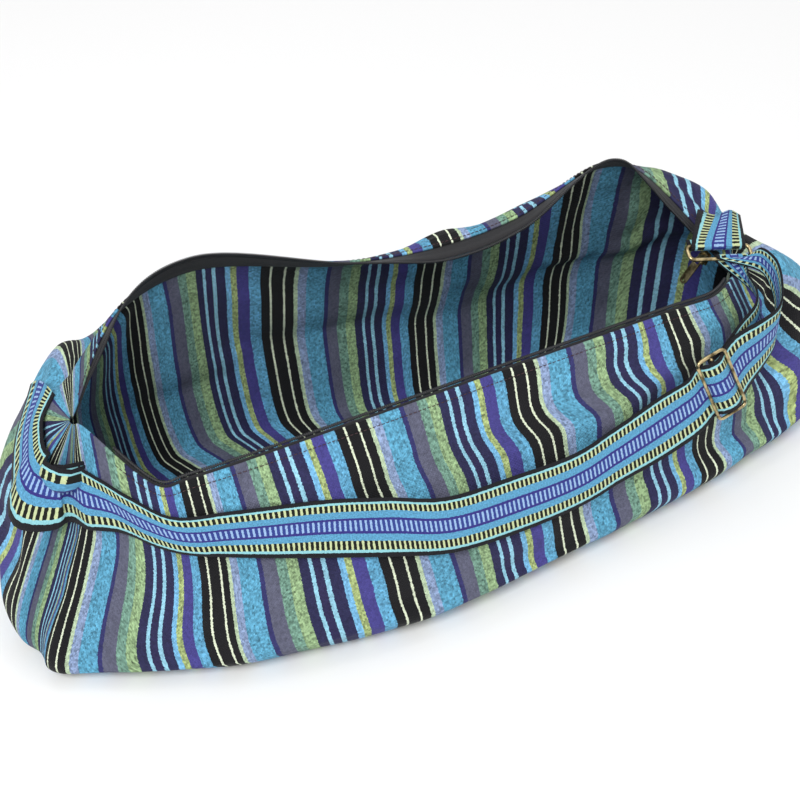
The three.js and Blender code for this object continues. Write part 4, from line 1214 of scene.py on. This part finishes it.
class BAG_OT_metal(bpy.types.Operator):
    """Builds the wire ring and slide and the pull, and finishes the slider."""

    bl_idname = "matbag.metal"
    bl_label = "Brass parts"

    def execute(self, context):
        scene = context.scene
        shape = ClothShape(scene.matbag_cloth)
        strap = StrapShape(shape, scene.matbag_band, scene.matbag_metal)
        brass = aged_brass(scene.matbag_metal)
        ring = wire_path(strap.ring_middle, strap.ring_across, strap.ring_along, RING_SHORT,
                         strap.ring_wire, strap.width)
        piece = mesh_object("ring_brass", *tube(ring, strap.ring_wire / 2))
        dress(piece, brass, "strap_ring")
        middle = strap.slide_middle + strap.slide_out * strap.slide_plane
        slide = wire_path(middle, strap.slide_across, strap.slide_along, SLIDE_SHORT,
                          strap.slide_wire, strap.width)
        # The soldered joint of the wire shows as a small lump on its upper end.
        joint = middle - strap.slide_across * ((strap.width + WIRE_SLACK + strap.slide_wire) / 2)
        joint -= strap.slide_along * 3
        radius = strap.slide_wire / 2
        lump = [radius * (1 + 0.45 * math.exp(-((p - joint).length / 3) ** 2)) for p in slide]
        half = (strap.width + WIRE_SLACK + strap.slide_wire) / 2 - radius * 0.8
        bar = [middle + strap.slide_across * half * (k / 6 - 1) for k in range(13)]
        parts = [tube(slide, lambda i: lump[i]), tube(bar, radius * 0.95, closed=False)]
        piece = mesh_object("slide_brass", *join_parts(parts))
        dress(piece, brass, "strap_slide")
        slider = bpy.data.objects["zip_slider"]
        slider.data.materials.clear()
        slider.data.materials.append(brass)
        bevel = slider.modifiers.new("Worn edges", "BEVEL")
        bevel.width = 0.00035
        bevel.segments = 3
        bevel.limit_method = "ANGLE"
        pull = pull_tag(shape)
        pull.data.materials.append(brass)
        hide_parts("zip_pull")
        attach(pull, "zip_pull")
        return {"FINISHED"}


# The zip

TAPE_THICKNESS = 0.8
TAPE_SHOW_FRONT = 2.0
TAPE_SHOW_BACK = 12.0
TAPE_UNDER = 9.0
COIL_WIDTH = 2.6
COIL_GAP = 0.5
TOOTH_PITCH = 1.7
FRONT_RUN = (0.47, 6.53)
BACK_RUN = (12.03, 20.9)
TAPE_SHOW_END = 3.0
TAPE_TAPER = 14
RIM_STEPS = 180
RISE_SPREAD = 5
RISE_LEAN = 0.08


def rim_frames(shape, run, count, show):
    """Frames along the inside of one edge of the mouth: point, down the cloth, into the bag, up, and
    how far the tape stands out."""
    frames = []
    for i in range(count + 1):
        place = run[0] + (run[1] - run[0]) * i / count
        top, low = shape.point(place, 0), shape.point(place, 0.2)
        down = (low - top).normalized()
        along = (shape.point(place + 0.05, 0) - shape.point(place - 0.05, 0)).normalized()
        into = along.cross(down).normalized()
        frames.append((top + into * 2.0, down, into))
    out = []
    for i, (at, down, into) in enumerate(frames):
        near = frames[max(i - RISE_SPREAD, 0):i + RISE_SPREAD + 1]
        rise = -sum((f[1] for f in near), Vector())
        rise.normalize()
        rise += into * max(RISE_LEAN - rise.dot(into), 0)
        taper = min(i / TAPE_TAPER, (count - i) / TAPE_TAPER, 1)
        end = min(TAPE_SHOW_END, show)
        out.append((at, down, into, rise.normalized(), end + (show - end) * taper))
    return out


def tape_mesh(frames):
    """Thin tape from inside the bag to its free edge, in five lengths across."""
    vertices, faces, uvs, run = [], [], [], 0.0
    distance, widths = [], []
    for i, (at, down, into, rise, show) in enumerate(frames):
        if i:
            run += (at - frames[i - 1][0]).length * MM
        distance.append(run)
        line = [(at + down * TAPE_UNDER, TAPE_UNDER),
                (at + down * (TAPE_UNDER / 2), TAPE_UNDER / 2), (at, 0.0),
                (at + rise * (show / 2), -show / 2), (at + rise * show, -show)]
        vertices += [p + into * FIT_GAP for p, _ in line]
        vertices += [p + into * (FIT_GAP + TAPE_THICKNESS) for p, _ in line[::-1]]
        widths.append([w for _, w in line] + [w for _, w in line[::-1]])
    n = len(widths[0])
    for i in range(len(frames) - 1):
        for k in range(n):
            m = (k + 1) % n
            faces.append((i * n + k, i * n + m, (i + 1) * n + m, (i + 1) * n + k))
            uvs.append([(distance[i], widths[i][k] * MM), (distance[i], widths[i][m] * MM),
                        (distance[i + 1], widths[i + 1][m] * MM), (distance[i + 1], widths[i + 1][k] * MM)])
    for end in (0, len(frames) - 1):
        ring = tuple(end * n + k for k in range(n))
        faces.append(ring if end else ring[::-1])
        uvs.append([(distance[end], width * MM) for width in widths[end]])
    return [placed(p) for p in vertices], faces, uvs


def block(middle, axes, size):
    """Eight corners and six faces of a block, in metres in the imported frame."""
    vertices = []
    for i in (-0.5, 0.5):
        for j in (-0.5, 0.5):
            for k in (-0.5, 0.5):
                vertices.append(placed(middle + axes[0] * i * size[0] + axes[1] * j * size[1]
                                       + axes[2] * k * size[2]))
    faces = [(0, 1, 3, 2), (4, 6, 7, 5), (0, 4, 5, 1), (2, 3, 7, 6), (0, 2, 6, 4), (1, 5, 7, 3)]
    return vertices, faces


def teeth_mesh(frames):
    """Coil teeth as small blocks on a cord, one each pitch."""
    line = [at + rise * (show + COIL_GAP + COIL_WIDTH / 2) + into * (FIT_GAP + TAPE_THICKNESS / 2)
            for at, _, into, rise, show in frames]
    parts = [tube(line, COIL_WIDTH * 0.28, sides=6, closed=False)]
    left = 0.0
    for i in range(len(line) - 1):
        span = (line[i + 1] - line[i]).length
        into, rise = frames[i][2], frames[i][3]
        along = (line[i + 1] - line[i]).normalized()
        while left < span:
            p = line[i].lerp(line[i + 1], left / span)
            parts.append(block(p, (along, rise, into), (TOOTH_PITCH * 0.55, COIL_WIDTH, COIL_WIDTH * 0.75)))
            left += TOOTH_PITCH
        left -= span
    return join_parts(parts)


def stitch_mesh(points, outs, length, radius):
    """Row of stitches: short thread humps between neighbouring holes."""
    parts = []
    for i in range(len(points) - 1):
        a, b, out = points[i], points[i + 1], outs[i]
        a, b = a.lerp(b, (1 - length) / 2), b.lerp(a, (1 - length) / 2)
        path = [a.lerp(b, t) + out * (math.sin(math.pi * t) * radius * 1.2 - radius * 0.4)
                for t in (0.0, 0.2, 0.5, 0.8, 1.0)]
        parts.append(tube(path, radius, sides=6, closed=False))
    return join_parts(parts)


STITCH_LEVEL = 0.1
STITCH_PITCH = 3.6
STITCH_SHARE = 0.62
STITCH_RADIUS = 0.32


def edge_line(shape, run):
    """Points a stitch apart just under the edge of the mouth, and the way out of the cloth there."""
    points, outs, last = [], [], None
    count = 900
    for i in range(count + 1):
        place = run[0] + (run[1] - run[0]) * i / count
        p = shape.point(place, STITCH_LEVEL, 0.25)
        if last is None or (p - last).length >= STITCH_PITCH:
            out = (shape.point(place, STITCH_LEVEL, 1.25) - p).normalized()
            points.append(p)
            outs.append(out)
            last = p
    return points, outs


class BAG_OT_zip(bpy.types.Operator):
    """Builds the zip tapes, their teeth and the stitches that hold them."""

    bl_idname = "matbag.zip"
    bl_label = "Zip"

    def execute(self, context):
        shape = ClothShape(context.scene.matbag_cloth)
        tape, coil = zip_tape_polyester(), coil_nylon()
        thread = sewing_thread("4A2A30")
        for side, run, show in (("front", FRONT_RUN, TAPE_SHOW_FRONT), ("back", BACK_RUN, TAPE_SHOW_BACK)):
            frames = rim_frames(shape, run, RIM_STEPS, show)
            piece = mesh_object(f"tape_{side}", *tape_mesh(frames))
            dress(piece, tape, f"zip_tape_{side}")
            piece = mesh_object(f"teeth_{side}", *teeth_mesh(frames))
            dress(piece, coil, f"zip_coil_{side}")
            sewn = stitch_mesh(*edge_line(shape, run), STITCH_SHARE, STITCH_RADIUS)
            dress(mesh_object(f"edge_stitches_{side}", *sewn), thread)
        return {"FINISHED"}


# The stage

CAMERA_TARGET = Vector((-0.0304, 0.0181, 0.1))
CAMERA_TURN = math.radians(-25)
CAMERA_RISE = math.radians(45)
CAMERA_REACH = 1.15
CAMERA_LENS = 61.5
# Name, place and size in metres, and power in watts.
LIGHTS = (("key", (-1.1, -1.0, 2.2), 0.9, 34), ("fill", (1.6, -0.9, 1.5), 1.8, 5),
          ("top", (0.1, 0.9, 2.4), 1.6, 8))
LIGHT_TARGET = Vector((0, 0, 0.1))
WORLD_STRENGTH = 0.7
FLOOR_DROP = 0.0006


class BAG_OT_stage(bpy.types.Operator):
    """Sets the pale floor, the soft studio lights and the camera."""

    bl_idname = "matbag.stage"
    bl_label = "Stage"

    def execute(self, context):
        scene = context.scene
        b = bmesh.new()
        bmesh.ops.create_grid(b, x_segments=2, y_segments=2, size=6)
        mesh = bpy.data.meshes.new("floor")
        b.to_mesh(mesh)
        b.free()
        floor = bpy.data.objects.new("floor", mesh)
        floor.location.z = -FLOOR_DROP
        scene.collection.objects.link(floor)
        material, _, shader = new_material("pale paper backdrop")
        shader.inputs["Base Color"].default_value = linear("F4F4F4")
        shader.inputs["Roughness"].default_value = 0.9
        mesh.materials.append(material)

        world = bpy.data.worlds.new("studio")
        world.use_nodes = True
        sky = world.node_tree.nodes["Background"].inputs
        sky["Color"].default_value = (1, 1, 1, 1)
        sky["Strength"].default_value = WORLD_STRENGTH
        scene.world = world
        scene.view_settings.view_transform = "Standard"
        scene.view_settings.look = "None"
        for light in LIGHTS:
            self.light(scene, *light)

        back = Vector((math.sin(CAMERA_TURN) * math.cos(CAMERA_RISE),
                       -math.cos(CAMERA_TURN) * math.cos(CAMERA_RISE), math.sin(CAMERA_RISE)))
        data = bpy.data.cameras.new("photo view")
        data.lens = CAMERA_LENS
        data.sensor_width = 36
        camera = bpy.data.objects.new("photo view", data)
        camera.location = CAMERA_TARGET + back * CAMERA_REACH
        camera.rotation_mode = "QUATERNION"
        camera.rotation_quaternion = (-back).to_track_quat("-Z", "Y")
        scene.collection.objects.link(camera)
        scene.camera = camera
        return {"FINISHED"}

    def light(self, scene, name, place, size, power):
        data = bpy.data.lights.new(name, "AREA")
        data.shape = "DISK"
        data.size = size
        data.energy = power
        lamp = bpy.data.objects.new(name, data)
        lamp.location = place
        lamp.rotation_mode = "QUATERNION"
        lamp.rotation_quaternion = (LIGHT_TARGET - Vector(place)).to_track_quat("-Z", "Y")
        scene.collection.objects.link(lamp)


class BAG_PT_panel(bpy.types.Panel):
    """Lists the steps that dress the bag."""

    bl_idname = "BAG_PT_panel"
    bl_label = "Mat bag"
    bl_space_type = "VIEW_3D"
    bl_region_type = "UI"
    bl_category = "Mat bag"

    def draw(self, context):
        for step in STEPS:
            self.layout.operator(step.bl_idname)


STEPS = (BAG_OT_stage, BAG_OT_cloth, BAG_OT_strap, BAG_OT_metal, BAG_OT_zip)
CLASSES = (ClothSettings, BandSettings, MetalSettings, *STEPS, BAG_PT_panel)


def register():
    for cls in CLASSES:
        bpy.utils.register_class(cls)
    bpy.types.Scene.matbag_cloth = bpy.props.PointerProperty(type=ClothSettings)
    bpy.types.Scene.matbag_band = bpy.props.PointerProperty(type=BandSettings)
    bpy.types.Scene.matbag_metal = bpy.props.PointerProperty(type=MetalSettings)


def unregister():
    del bpy.types.Scene.matbag_metal
    del bpy.types.Scene.matbag_band
    del bpy.types.Scene.matbag_cloth
    for cls in reversed(CLASSES):
        bpy.utils.unregister_class(cls)


def main():
    register()
    bpy.ops.matbag.stage()
    bpy.ops.matbag.cloth()
    bpy.ops.matbag.strap()
    bpy.ops.matbag.metal()
    bpy.ops.matbag.zip()


if __name__ == "__main__":
    main()
